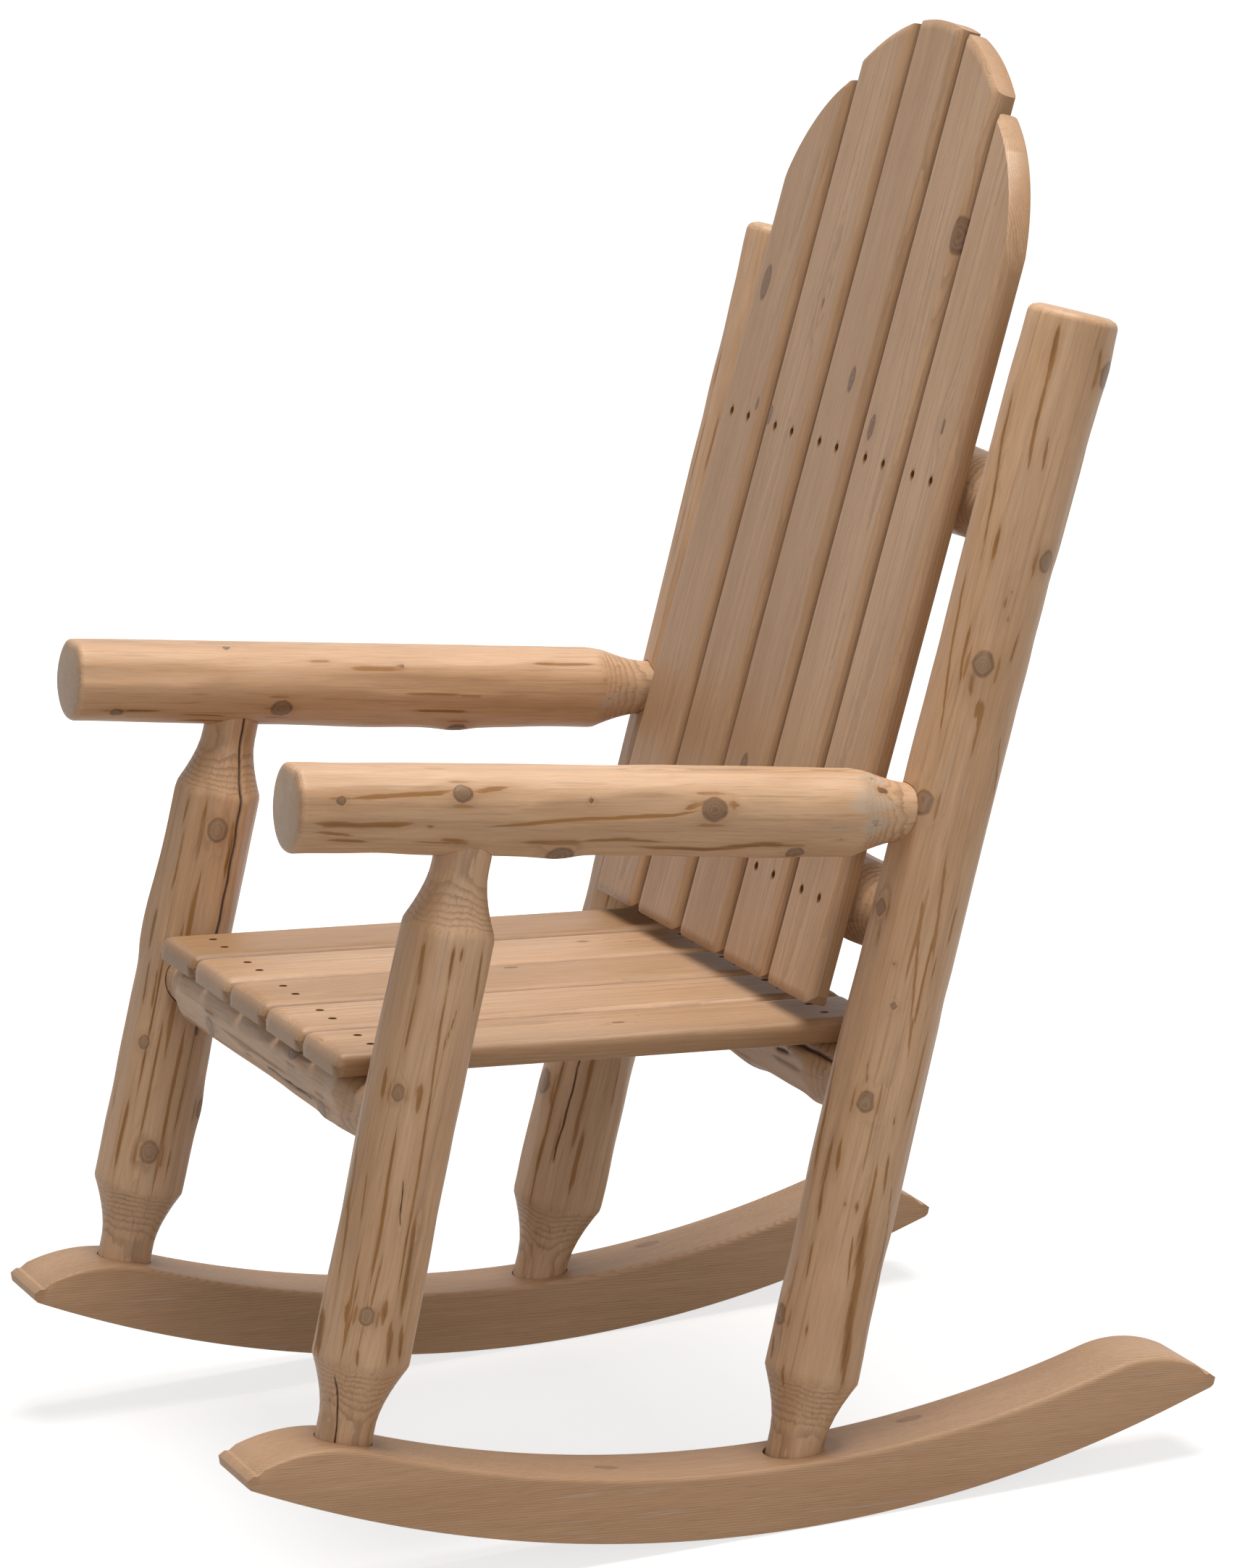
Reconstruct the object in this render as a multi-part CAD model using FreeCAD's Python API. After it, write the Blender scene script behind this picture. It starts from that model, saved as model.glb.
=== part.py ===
import FreeCAD, Part
import math
import os

# Rocking adirondack chair of peeled logs and sawn boards, in millimetres.
# The sitter faces -Y, +X is the sitter's left and +Z is up. The chair is laid
# out with the middles of its rockers on the floor, then rocked back until its
# weight is over the place where they touch. The origin is on the floor, midway
# between the ends of the rockers.

# Overall stance
track = 590.0
rocker_reach = 409.5

# Rockers
rocker_radius = 1057.0
rocker_depth = 54.0
rocker_thickness = 76.0
rocker_tip_radius = 7.0
nose_crown_radius = 130.0
tail_crown_radius = 93.0
rocker_edge_break = 4.0

# Logs, peeled with a drawknife that leaves narrow flats, and their turned tenons
front_post_diameter = 78.0
front_post_head_diameter = 74.0
back_post_foot_diameter = 78.0
back_post_top_diameter = 74.0
arm_diameter = 73.0
seat_rail_diameter = 62.0
back_rail_diameter = 72.0
tenon_diameter = 45.0
tenon_play = 0.15
tenon_end_gap = 0.3
shoulder_length = 38.0
foot_neck = 64.0
arm_neck = 62.0
arm_rear_neck = 48.0
rail_neck = 46.0
log_flats = 20
shoulder_steps = 3

# Posts, placed where their axes meet the floor
front_post_foot = -342.5
front_post_lean = 12.5
back_post_foot = 42.3
back_post_lean = 14.5
back_post_length = 969.0
post_top_round = 8.0
rocker_bore_depth = 38.0
post_bore_depth = 42.0

# Arms
arm_height_at_front_post = 595.5
arm_slope = 4.5
arm_front_overhang = 151.0
arm_flat_cut = 5.0
arm_end_round = 6.0
arm_bore_depth = 44.0

# Seat
seat_slat_count = 5
slat_width = 89.0
slat_thickness = 19.0
seat_slat_gap = 6.0
seat_height = 390.5
seat_slope = 0.9
seat_front_edge = -302.0
seat_slat_length = 464.0
seat_rail_flat_cut = 4.0

# Back
back_slat_gap = 9.3
back_slat_lean = 15.9
back_face_at_seat = 87.5
back_slat_clearance = 15.0
back_crown_height = 785.0
back_crown_radius = 234.0
side_slat_inner_height = 722.0
side_slat_outer_height = 604.0
side_slat_crown_radius = 163.0
lower_back_rail_height = 86.0
upper_back_rail_height = 424.0
back_rail_flat_cut = 4.5

# Slat edges and screws
slat_edge_round = 7.0
slat_corner_round = 8.0
screw_head_diameter = 8.0
screw_head_length = 3.0
screw_shank_diameter = 4.5
screw_length = 45.0
screw_sides = 8
screw_recess = 4.0
seat_screw_spacing = 32.0
rear_seat_screw_inset = 13.0
back_screw_spacing = 37.0
lower_back_screw_height = 82.0
upper_back_screw_height = 426.0

X_AXIS = FreeCAD.Vector(1, 0, 0)
nodes = {}


def point(x, y, z):
    return FreeCAD.Vector(x, y, z)


def leaning(angle):
    """Unit vector that points up and leans back by an angle in degrees."""
    return point(0, math.sin(math.radians(angle)), math.cos(math.radians(angle)))


def turned(shape, start, direction):
    """Stand a solid made along +Z on a start point, along a direction."""
    turn = FreeCAD.Rotation(point(0, 0, 1), direction)
    placed = shape.copy()
    placed.Placement = FreeCAD.Placement(start, turn)
    return placed


def faceted(stations, sides):
    """Solid along +Z through regular polygons, each given by its height and corner radius."""
    rings = []
    for height, radius in stations:
        ring = []
        for step in range(sides):
            angle = 2 * math.pi * step / sides
            ring.append(point(radius * math.cos(angle), radius * math.sin(angle), height))
        ring.append(ring[0])
        rings.append(ring)
    faces = [Part.Face(Part.makePolygon(rings[0])), Part.Face(Part.makePolygon(rings[-1]))]
    for lower, upper in zip(rings, rings[1:]):
        for step in range(sides):
            corners = [lower[step], lower[step + 1], upper[step + 1], upper[step], lower[step]]
            faces.append(Part.Face(Part.makePolygon(corners)))
    solid = Part.Solid(Part.Shell(faces))
    if solid.Volume < 0:
        solid.reverse()
    return solid


def tenon_bore(start, direction, length):
    """Waste of a bore that takes a log tenon, along the tenon's own direction."""
    radius = tenon_diameter / 2 + tenon_play
    return turned(faceted([(0, radius), (length, radius)], log_flats), start, direction)


def circles_meet(centre_a, radius_a, centre_b, radius_b, side):
    """The point where two circles in the YZ plane meet, on one side of their centre line."""
    between = centre_b - centre_a
    distance = between.Length
    along = (radius_a ** 2 - radius_b ** 2 + distance ** 2) / (2 * distance)
    across = math.sqrt(radius_a ** 2 - along ** 2)
    unit = between / distance
    normal = point(0, -unit.z, unit.y)
    return centre_a + unit * along + normal * (across * side)


def shoulder(small, large, length):
    """Distances and radii along the concave shoulder that leads from a tenon to the log."""
    rise = large - small
    radius = (length ** 2 + rise ** 2) / (2 * rise)
    sweep = math.asin(length / radius)
    stations = []
    for step in range(shoulder_steps + 1):
        angle = sweep * step / shoulder_steps
        stations.append((radius * math.sin(angle), small + radius * (1 - math.cos(angle))))
    return stations


def log_end(radius, tenon, rounding):
    """Distances and radii from the end of a log inwards, with a tenon or a rounded free end."""
    if tenon:
        stations = [(0, tenon_diameter / 2)]
        for distance, size in shoulder(tenon_diameter / 2, radius, shoulder_length):
            stations.append((tenon + distance, size))
        return stations
    bulge = rounding * (1 - math.sqrt(0.5))
    return [(0, radius - rounding), (bulge, radius - bulge), (rounding, radius)]


def peeled_log(start_radius, end_radius, start_tenon, end_tenon, length, end_round):
    """Log along +Z with a shouldered tenon wherever a tenon length is given."""
    stations = log_end(start_radius, start_tenon, end_round)
    for distance, size in reversed(log_end(end_radius, end_tenon, end_round)):
        stations.append((length - distance, size))
    return faceted(stations, log_flats)


# Rockers

def rocker_centre():
    return point(0, 0, rocker_radius)


def rocker_top_on(foot, direction):
    """Where a post axis from the floor meets the top edge of the rocker."""
    radius = rocker_radius - rocker_depth
    offset = point(0, foot, 0) - rocker_centre()
    along = offset.dot(direction)
    travel = -along - math.sqrt(along ** 2 - offset.dot(offset) + radius ** 2)
    return point(0, foot, 0) + direction * travel


def rocker_end(way, crown_radius):
    """Tangent points and middles of the crown and tip at the nose or tail."""
    centre = rocker_centre()
    inner = rocker_radius - rocker_tip_radius
    reach = rocker_reach - rocker_tip_radius
    tip = point(0, way * reach, rocker_radius - math.sqrt(inner ** 2 - reach ** 2))
    top_radius = rocker_radius - rocker_depth
    crown = circles_meet(centre, top_radius + crown_radius, tip, crown_radius - rocker_tip_radius, -way)
    leave = centre + (crown - centre).normalize() * top_radius
    to_tip = (tip - crown).normalize()
    shoulder_point = crown + to_tip * crown_radius
    rise = (leave - crown).normalize()
    crown_middle = crown + (to_tip + rise).normalize() * crown_radius
    down = (tip - centre).normalize()
    under = centre + down * rocker_radius
    tip_middle = tip + (to_tip + down).normalize() * rocker_tip_radius
    return leave, crown_middle, shoulder_point, tip_middle, under


def rocker_blank():
    nose = rocker_end(-1, nose_crown_radius)
    tail = rocker_end(1, tail_crown_radius)
    top_middle = point(0, 0, rocker_depth)
    arcs = [
        Part.Arc(nose[4], point(0, 0, 0), tail[4]),
        Part.Arc(tail[4], tail[3], tail[2]),
        Part.Arc(tail[2], tail[1], tail[0]),
        Part.Arc(tail[0], top_middle, nose[0]),
        Part.Arc(nose[0], nose[1], nose[2]),
        Part.Arc(nose[2], nose[3], nose[4]),
    ]
    wire = Part.Wire([arc.toShape() for arc in arcs])
    blank = Part.Face(wire).extrude(X_AXIS * rocker_thickness)
    blank.translate(X_AXIS * (-rocker_thickness / 2))
    rims = []
    for edge in blank.Edges:
        box = edge.BoundBox
        if box.XLength < 0.01:
            rims.append(edge)
    return blank.makeChamfer(rocker_edge_break, rims)


def foot_bore(foot, lean, side):
    """Blind round hole in the top of a rocker, along the post that it takes."""
    direction = leaning(lean)
    mouth = rocker_top_on(foot, direction) + X_AXIS * (side * track / 2)
    start = mouth - direction * rocker_bore_depth
    return tenon_bore(start, direction, rocker_bore_depth * 2)


def make_rocker(side):
    rocker = rocker_blank()
    rocker.translate(X_AXIS * (side * track / 2))
    rocker = rocker.cut(foot_bore(front_post_foot, front_post_lean, side))
    return rocker.cut(foot_bore(back_post_foot, back_post_lean, side))


# Lines and planes that the pieces share

def arm_axis_at(y):
    front_post_y = front_post_foot + arm_height_at_front_post * math.tan(math.radians(front_post_lean))
    drop = (y - front_post_y) * math.tan(math.radians(arm_slope))
    return arm_height_at_front_post - drop


def arm_direction():
    """Unit vector from the front end of an arm to the back post."""
    slope = math.radians(arm_slope)
    return point(0, math.cos(slope), -math.sin(slope))


def post_meets_arm(foot, lean):
    """Where a post axis crosses the arm axis, seen from the side."""
    direction = leaning(lean)
    arm = arm_direction()
    start = point(0, 0, arm_axis_at(0))
    normal = point(0, -arm.z, arm.y)
    travel = (start - point(0, foot, 0)).dot(normal) / direction.dot(normal)
    return point(0, foot, 0) + direction * travel


def seat_back_direction():
    """Unit vector along the seat slats, front to rear."""
    slope = math.radians(seat_slope)
    return point(0, math.cos(slope), -math.sin(slope))


def seat_normal():
    slope = math.radians(seat_slope)
    return point(0, math.sin(slope), math.cos(slope))


def seat_rail_centre(foot, lean):
    """A seat rail sits on the post axis, with its flat against the slats."""
    drop = slat_thickness + seat_rail_diameter / 2 - seat_rail_flat_cut
    normal = seat_normal()
    start = point(0, 0, seat_height) - normal * drop
    direction = leaning(lean)
    travel = (start - point(0, foot, 0)).dot(normal) / direction.dot(normal)
    return point(0, foot, 0) + direction * travel


def back_face_start():
    """Lower front edge line of the back slats, above the seat."""
    return point(0, back_face_at_seat, seat_height + back_slat_clearance)


def back_normal():
    """Unit vector out of the front faces of the back slats, towards the sitter."""
    lean = math.radians(back_slat_lean)
    return point(0, -math.cos(lean), math.sin(lean))


def back_rail_centre(height):
    """A back rail lies behind the slats, with its flat against them."""
    depth = slat_thickness + back_rail_diameter / 2 - back_rail_flat_cut
    return back_face_start() + leaning(back_slat_lean) * height - back_normal() * depth


# Log pieces

def rail_bore(centre, side):
    """Blind hole for a rail tenon in the inner side of a post."""
    length = post_bore_depth * 2
    reach = side * (rail_tenon_end() + tenon_end_gap - length / 2)
    return tenon_bore(centre + X_AXIS * (reach - length / 2), X_AXIS, length)


def rail_tenon_end():
    """Distance from the middle of the chair to the end of each rail tenon."""
    return track / 2 - front_post_diameter / 2 + post_bore_depth


def make_front_post(side):
    direction = leaning(front_post_lean)
    mouth = rocker_top_on(front_post_foot, direction)
    start = mouth - direction * (rocker_bore_depth - tenon_end_gap)
    top = front_post_top()
    length = (top - start).Length
    foot_tenon = rocker_bore_depth + foot_neck - shoulder_length
    head_tenon = arm_bore_depth + arm_neck - shoulder_length
    foot_radius = front_post_diameter / 2
    head_radius = front_post_head_diameter / 2
    log = peeled_log(foot_radius, head_radius, foot_tenon, head_tenon, length, 0)
    post = turned(log, start, direction)
    centre = seat_rail_centre(front_post_foot, front_post_lean)
    post.translate(X_AXIS * (side * track / 2))
    return post.cut(rail_bore(centre, side))


def arm_underside_on_post():
    """Where the front post axis enters the underside of the arm."""
    direction = leaning(front_post_lean)
    back = arm_diameter / 2 / math.cos(math.radians(front_post_lean - arm_slope))
    return post_meets_arm(front_post_foot, front_post_lean) - direction * back


def front_post_top():
    reach = arm_bore_depth - tenon_end_gap
    return arm_underside_on_post() + leaning(front_post_lean) * reach


def arm_socket_entry():
    """Where the arm axis enters the front of the back post."""
    cross = post_meets_arm(back_post_foot, back_post_lean)
    radius = back_post_top_diameter / 2
    return cross - arm_direction() * (radius / math.cos(math.radians(back_post_lean - arm_slope)))


def make_back_post(side):
    direction = leaning(back_post_lean)
    mouth = rocker_top_on(back_post_foot, direction)
    start = mouth - direction * (rocker_bore_depth - tenon_end_gap)
    foot_tenon = rocker_bore_depth + foot_neck - shoulder_length
    foot_radius = back_post_foot_diameter / 2
    top_radius = back_post_top_diameter / 2
    log = peeled_log(foot_radius, top_radius, foot_tenon, 0, back_post_length, post_top_round)
    post = turned(log, start, direction)
    post.translate(X_AXIS * (side * track / 2))
    centres = [
        seat_rail_centre(back_post_foot, back_post_lean),
        back_rail_centre(lower_back_rail_height),
        back_rail_centre(upper_back_rail_height),
    ]
    for centre in centres:
        post = post.cut(rail_bore(centre, side))
    socket = arm_socket_entry() - arm_direction() * post_bore_depth + X_AXIS * (side * track / 2)
    return post.cut(tenon_bore(socket, arm_direction(), post_bore_depth * 2))


def arm_start():
    cross = post_meets_arm(front_post_foot, front_post_lean)
    return cross - arm_direction() * arm_front_overhang


def make_arm(side):
    start = arm_start()
    direction = arm_direction()
    end = arm_socket_entry() + direction * (post_bore_depth - tenon_end_gap)
    length = (end - start).Length
    radius = arm_diameter / 2
    rear_tenon = post_bore_depth + arm_rear_neck - shoulder_length
    arm = turned(peeled_log(radius, radius, 0, rear_tenon, length, arm_end_round), start, direction)
    upward = point(0, -direction.z, direction.y)
    arm = arm.cut(planing(start, direction, upward, radius - arm_flat_cut, length, radius))
    bore_direction = leaning(front_post_lean)
    bore_start = arm_underside_on_post() - bore_direction * arm_bore_depth
    arm = arm.cut(tenon_bore(bore_start, bore_direction, arm_bore_depth * 2))
    arm.translate(X_AXIS * (side * track / 2))
    return arm


def planing(start, direction, outward, distance, length, radius):
    """Block of waste over a planed flat, at a distance from a log's axis."""
    across = direction.cross(outward)
    corner = start + outward * distance - across * (radius * 2)
    wire = Part.makePolygon([
        corner,
        corner + across * (radius * 4),
        corner + across * (radius * 4) + outward * (radius * 2),
        corner + outward * (radius * 2),
        corner,
    ])
    return Part.Face(wire).extrude(direction * length)


def make_rail(centre, diameter, outward, flat_cut):
    half = rail_tenon_end()
    radius = diameter / 2
    inside_post = half - (track / 2 - front_post_diameter / 2)
    tenon = inside_post + rail_neck - shoulder_length
    start = centre - X_AXIS * half
    rail = turned(peeled_log(radius, radius, tenon, tenon, half * 2, 0), start, X_AXIS)
    return rail.cut(planing(start, X_AXIS, outward, radius - flat_cut, half * 2, radius))


# Slats and their screws

def screw_stations(top, play, end):
    """Heights and radii of a countersunk screw, or of its hole with some play."""
    head = screw_head_diameter / 2 + play
    shank = screw_shank_diameter / 2 + play
    return [(top, head), (screw_recess, head), (screw_recess + screw_head_length, shank), (end, shank)]


def screw_hole(face_point, inward):
    """Recess and countersunk seat for a head and a clear way for the shank, from a slat's face."""
    stations = screw_stations(-1, tenon_play, slat_thickness + screw_recess)
    return turned(faceted(stations, screw_sides), face_point, inward)


def make_screw(face_point, inward):
    stations = screw_stations(0, 0, screw_recess + screw_length)[1:]
    return turned(faceted(stations, screw_sides), face_point, inward)


def seat_slat_middle(index):
    return (index - (seat_slat_count - 1) / 2) * (slat_width + seat_slat_gap)


def back_slat_middle(index):
    return (index - (seat_slat_count - 1) / 2) * (slat_width + back_slat_gap)


def on_plane(target, plane_point, normal):
    """Foot of the perpendicular from a point to a plane."""
    return target - normal * (target - plane_point).dot(normal)


def seat_screw_points(index, foot, lean):
    """The rear row of screws stands in front of its rail's middle, clear of the back slats."""
    centre = seat_rail_centre(foot, lean)
    face = on_plane(centre, point(0, 0, seat_height), seat_normal())
    if foot == back_post_foot:
        face = face - seat_back_direction() * rear_seat_screw_inset
    middle = seat_slat_middle(index)
    half = seat_screw_spacing / 2
    return [face + X_AXIS * (middle - half), face + X_AXIS * (middle + half)]


def back_screw_points(index, height):
    face = back_face_start() + leaning(back_slat_lean) * height
    middle = back_slat_middle(index)
    half = back_screw_spacing / 2
    return [face + X_AXIS * (middle - half), face + X_AXIS * (middle + half)]


def rounded_board(corner, across, along, normal, width, length, rounded_ends):
    """Board with its show face up along the normal and the long edges of that face rounded.

    The corner is in the show face. The board is the part that two long profiles share, one
    drawn across its width and one along its length, so that rounded ends meet its edges.
    """
    def profile(start, way, size, rounding):
        far = start + way * size
        down = normal * -slat_thickness
        if not rounding:
            return Part.Face(Part.makePolygon([start, far, far + down, start + down, start]))
        bulge = rounding * (1 - math.sqrt(0.5))
        near_edge = start - normal * rounding
        far_edge = far - normal * rounding
        near_middle = start + way * bulge - normal * bulge
        far_middle = far - way * bulge - normal * bulge
        return Part.Face(Part.Wire([
            Part.makeLine(start + way * rounding, far - way * rounding),
            Part.Arc(far - way * rounding, far_middle, far_edge).toShape(),
            Part.makeLine(far_edge, far + down),
            Part.makeLine(far + down, start + down),
            Part.makeLine(start + down, near_edge),
            Part.Arc(near_edge, near_middle, start + way * rounding).toShape(),
        ]))

    board = profile(corner, across, width, slat_edge_round).extrude(along * length)
    if rounded_ends:
        board = board.common(profile(corner, along, length, slat_edge_round).extrude(across * width))
    return board


def make_seat_slat(index):
    normal = seat_normal()
    back = seat_back_direction()
    front = point(0, 0, seat_height) + back * (seat_front_edge / back.y)
    corner = front + X_AXIS * (seat_slat_middle(index) - slat_width / 2)
    slat = rounded_board(corner, X_AXIS, back, normal, slat_width, seat_slat_length, True)
    for foot, lean in ((front_post_foot, front_post_lean), (back_post_foot, back_post_lean)):
        for face_point in seat_screw_points(index, foot, lean):
            slat = slat.cut(screw_hole(face_point, normal * -1))
    return slat


def crown_height(x, outer):
    """Height of the sawn top of the back above the slats' lower ends."""
    if not outer:
        return back_crown_height - back_crown_radius + math.sqrt(back_crown_radius ** 2 - x ** 2)
    inner_x = back_slat_middle(seat_slat_count - 1) - slat_width / 2
    start = point(inner_x, 0, side_slat_inner_height)
    end = point(inner_x + slat_width, 0, side_slat_outer_height)
    chord = end - start
    reach = math.sqrt(side_slat_crown_radius ** 2 - (chord.Length / 2) ** 2)
    inward = point(chord.z, 0, -chord.x).normalize()
    centre = (start + end) / 2 + inward * reach
    return centre.z + math.sqrt(side_slat_crown_radius ** 2 - (abs(x) - centre.x) ** 2)


def make_back_slat(index):
    up = leaning(back_slat_lean)
    normal = back_normal()
    start = back_face_start()
    middle = back_slat_middle(index)
    half = slat_width / 2
    outer = index in (0, seat_slat_count - 1)

    def at(x, height):
        return start + X_AXIS * x + up * height

    left, right = middle - half, middle + half
    ends = [at(left, crown_height(left, outer)), at(right, crown_height(right, outer))]
    bow = slat_corner_round
    edges = [
        Part.makeLine(at(left + bow, 0), at(right - bow, 0)),
        Part.Arc(at(right - bow, 0), corner_middle(at, right, -1), at(right, bow)).toShape(),
        Part.makeLine(at(right, bow), ends[1]),
        Part.Arc(ends[1], at(middle, crown_height(middle, outer)), ends[0]).toShape(),
        Part.makeLine(ends[0], at(left, bow)),
        Part.Arc(at(left, bow), corner_middle(at, left, 1), at(left + bow, 0)).toShape(),
    ]
    outline = Part.Face(Part.Wire(edges)).extrude(normal * -slat_thickness)
    board = rounded_board(at(left, 0), X_AXIS, up, normal, slat_width, back_crown_height, False)
    slat = board.common(outline)
    for height in (lower_back_screw_height, upper_back_screw_height):
        for face_point in back_screw_points(index, height):
            slat = slat.cut(screw_hole(face_point, normal * -1))
    return slat


def corner_middle(at, x, inward):
    """Middle of the rounded lower corner of a back slat."""
    bulge = slat_corner_round * (1 - math.sqrt(0.5))
    return at(x + inward * bulge, bulge)


def drilled(rail, screws):
    """Rail with a close hole for each screw that bites into it."""
    for screw in screws:
        rail = rail.cut(screw)
    return rail


def seat_screws(foot, lean):
    screws = []
    for index in range(seat_slat_count):
        for face_point in seat_screw_points(index, foot, lean):
            screws.append(make_screw(face_point, seat_normal() * -1))
    return screws


def back_screws(height):
    screws = []
    for index in range(seat_slat_count):
        for face_point in back_screw_points(index, height):
            screws.append(make_screw(face_point, back_normal() * -1))
    return screws


def add_rails():
    rails = {
        "front_seat_rail": (seat_rail_centre(front_post_foot, front_post_lean), seat_rail_diameter,
                            seat_normal(), seat_rail_flat_cut, seat_screws(front_post_foot, front_post_lean)),
        "rear_seat_rail": (seat_rail_centre(back_post_foot, back_post_lean), seat_rail_diameter,
                           seat_normal(), seat_rail_flat_cut, seat_screws(back_post_foot, back_post_lean)),
        "lower_back_rail": (back_rail_centre(lower_back_rail_height), back_rail_diameter,
                            back_normal(), back_rail_flat_cut, back_screws(lower_back_screw_height)),
        "upper_back_rail": (back_rail_centre(upper_back_rail_height), back_rail_diameter,
                            back_normal(), back_rail_flat_cut, back_screws(upper_back_screw_height)),
    }
    for name, (centre, diameter, outward, flat_cut, screws) in rails.items():
        nodes[name] = drilled(make_rail(centre, diameter, outward, flat_cut), screws)
        nodes[name + "_screws"] = Part.makeCompound(screws)


def add_sides():
    for side, word in ((-1, "right"), (1, "left")):
        nodes["rocker_" + word] = make_rocker(side)
        nodes["front_post_" + word] = make_front_post(side)
        nodes["back_post_" + word] = make_back_post(side)
        nodes["arm_" + word] = make_arm(side)


def add_slats():
    for index in range(seat_slat_count):
        nodes["seat_slat_%d" % (index + 1)] = make_seat_slat(index)
        nodes["back_slat_%d" % (index + 1)] = make_back_slat(index)


def rest_angle():
    """Angle by which the chair rocks back from its layout until it balances."""
    weight = Part.makeCompound(list(nodes.values())).CenterOfGravity
    return math.degrees(math.atan2(weight.y, rocker_radius - weight.z))


def at_rest(shape, angle):
    """Rock a finished piece about the centre of the rocker arcs, then centre the rockers."""
    placed = shape.copy()
    placed.rotate(rocker_centre(), X_AXIS, -angle)
    tip_reach = rocker_reach - rocker_tip_radius
    tip_drop = math.sqrt((rocker_radius - rocker_tip_radius) ** 2 - tip_reach ** 2)
    placed.translate(point(0, tip_drop * math.sin(math.radians(angle)), 0))
    return placed


add_sides()
add_rails()
add_slats()
lean_at_rest = rest_angle()
print("the chair rests rocked back by", round(lean_at_rest, 2), "degrees")
os.makedirs("parts", exist_ok=True)
for name, shape in nodes.items():
    at_rest(shape, lean_at_rest).exportStep("parts/" + name + ".step")
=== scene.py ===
import math
import random

import bmesh
import bpy
import numpy as np
from mathutils import Euler, Matrix, Vector


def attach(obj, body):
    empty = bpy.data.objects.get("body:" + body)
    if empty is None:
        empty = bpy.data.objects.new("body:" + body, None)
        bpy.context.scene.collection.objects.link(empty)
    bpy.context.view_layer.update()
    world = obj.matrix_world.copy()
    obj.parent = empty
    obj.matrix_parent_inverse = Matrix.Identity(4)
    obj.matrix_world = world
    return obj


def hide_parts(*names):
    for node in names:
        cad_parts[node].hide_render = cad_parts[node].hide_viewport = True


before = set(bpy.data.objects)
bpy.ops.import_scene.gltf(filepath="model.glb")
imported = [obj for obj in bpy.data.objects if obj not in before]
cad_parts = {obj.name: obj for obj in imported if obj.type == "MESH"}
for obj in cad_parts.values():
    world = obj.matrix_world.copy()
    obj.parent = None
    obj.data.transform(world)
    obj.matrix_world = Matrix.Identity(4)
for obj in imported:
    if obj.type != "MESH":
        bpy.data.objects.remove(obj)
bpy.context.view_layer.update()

# Looks of a rocking chair of peeled cedar logs and sawn boards, in metres.
# The sitter faces -Y, +X is the sitter's left and +Z is up.

bl_info = {
    "name": "Peeled log rocking chair",
    "version": (1, 0, 0),
    "blender": (4, 5, 0),
    "location": "View3D > Sidebar > Log chair",
    "description": "Peeled logs, sawn rockers and slats dressed around the frame of a rocking chair",
    "category": "Object",
}

BODY = "root"
MM = 0.001


# Sizes and colours that a user may change

def length_setting(name, description, default):
    return bpy.props.FloatProperty(name=name, description=description, default=default, unit="LENGTH")


def colour_setting(name, description, default):
    return bpy.props.FloatVectorProperty(name=name, description=description, default=default,
                                         subtype="COLOR", size=3)


class ChairSizes(bpy.types.PropertyGroup):
    side_offset: length_setting("Side offset", "From the middle of the chair to each side's logs", 0.295)
    tenon_radius: length_setting("Tenon radius", "Radius of the round tenons", 0.0225)
    shoulder_length: length_setting("Shoulder length", "Concave shoulder behind a tenon", 0.038)
    bore_gap: length_setting("Bore gap", "Shadow gap between a tenon and its bore", 0.0008)
    slat_width: length_setting("Slat width", "Width of the seat and back boards", 0.089)
    slat_thickness: length_setting("Slat thickness", "Thickness of the boards", 0.019)
    slat_edge_round: length_setting("Edge rounding", "On the long edges of a board's show face", 0.0095)
    rocker_radius: length_setting("Rocker radius", "Radius of the rockers' undersides", 1.057)
    rocker_depth: length_setting("Rocker depth", "Height of a rocker at its middle", 0.054)
    rocker_thickness: length_setting("Rocker thickness", "Thickness of a rocker plank", 0.076)


class ChairColours(bpy.types.PropertyGroup):
    pale_wood: colour_setting("Pale wood", "Fresh sapwood", (0.60, 0.375, 0.22))
    warm_wood: colour_setting("Warm wood", "Warmer zones of the wood", (0.44, 0.245, 0.12))
    # Inner and dark bark also paint the shade in the slats' screw recesses
    inner_bark: colour_setting("Inner bark", "Amber streaks left on the logs", (0.27, 0.112, 0.018))
    dark_bark: colour_setting("Dark bark", "Darkest streaks and knot rims", (0.11, 0.046, 0.014))
    end_grain: colour_setting("End grain", "Sawn ends of the logs", (0.47, 0.31, 0.19))
    knot_wood: colour_setting("Knot wood", "Heart of a knot", (0.20, 0.105, 0.048))


def sizes():
    return bpy.context.scene.chair_sizes


def colours():
    return bpy.context.scene.chair_colours


# Small helpers for operators and meshes

def deselect_all():
    if bpy.context.object and bpy.context.object.mode != "OBJECT":
        bpy.ops.object.mode_set(mode="OBJECT")
    bpy.ops.object.select_all(action="DESELECT")


def choose(obj):
    deselect_all()
    obj.select_set(True)
    bpy.context.view_layer.objects.active = obj


def new_piece(name):
    obj = bpy.context.object
    obj.name = name
    obj.data.name = name
    return obj


def select_edges(obj, wanted):
    """Select the edges, in edit mode, whose two end points pass a test."""
    mesh = bmesh.from_edit_mesh(obj.data)
    bpy.ops.mesh.select_all(action="DESELECT")
    bpy.ops.mesh.select_mode(type="EDGE")
    for edge in mesh.edges:
        edge.select_set(wanted(edge.verts[0].co, edge.verts[1].co))
    mesh.select_flush_mode()
    bmesh.update_edit_mesh(obj.data)


def select_faces(obj, wanted):
    mesh = bmesh.from_edit_mesh(obj.data)
    bpy.ops.mesh.select_all(action="DESELECT")
    bpy.ops.mesh.select_mode(type="FACE")
    for face in mesh.faces:
        face.select_set(wanted(face))
    bmesh.update_edit_mesh(obj.data)


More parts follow.
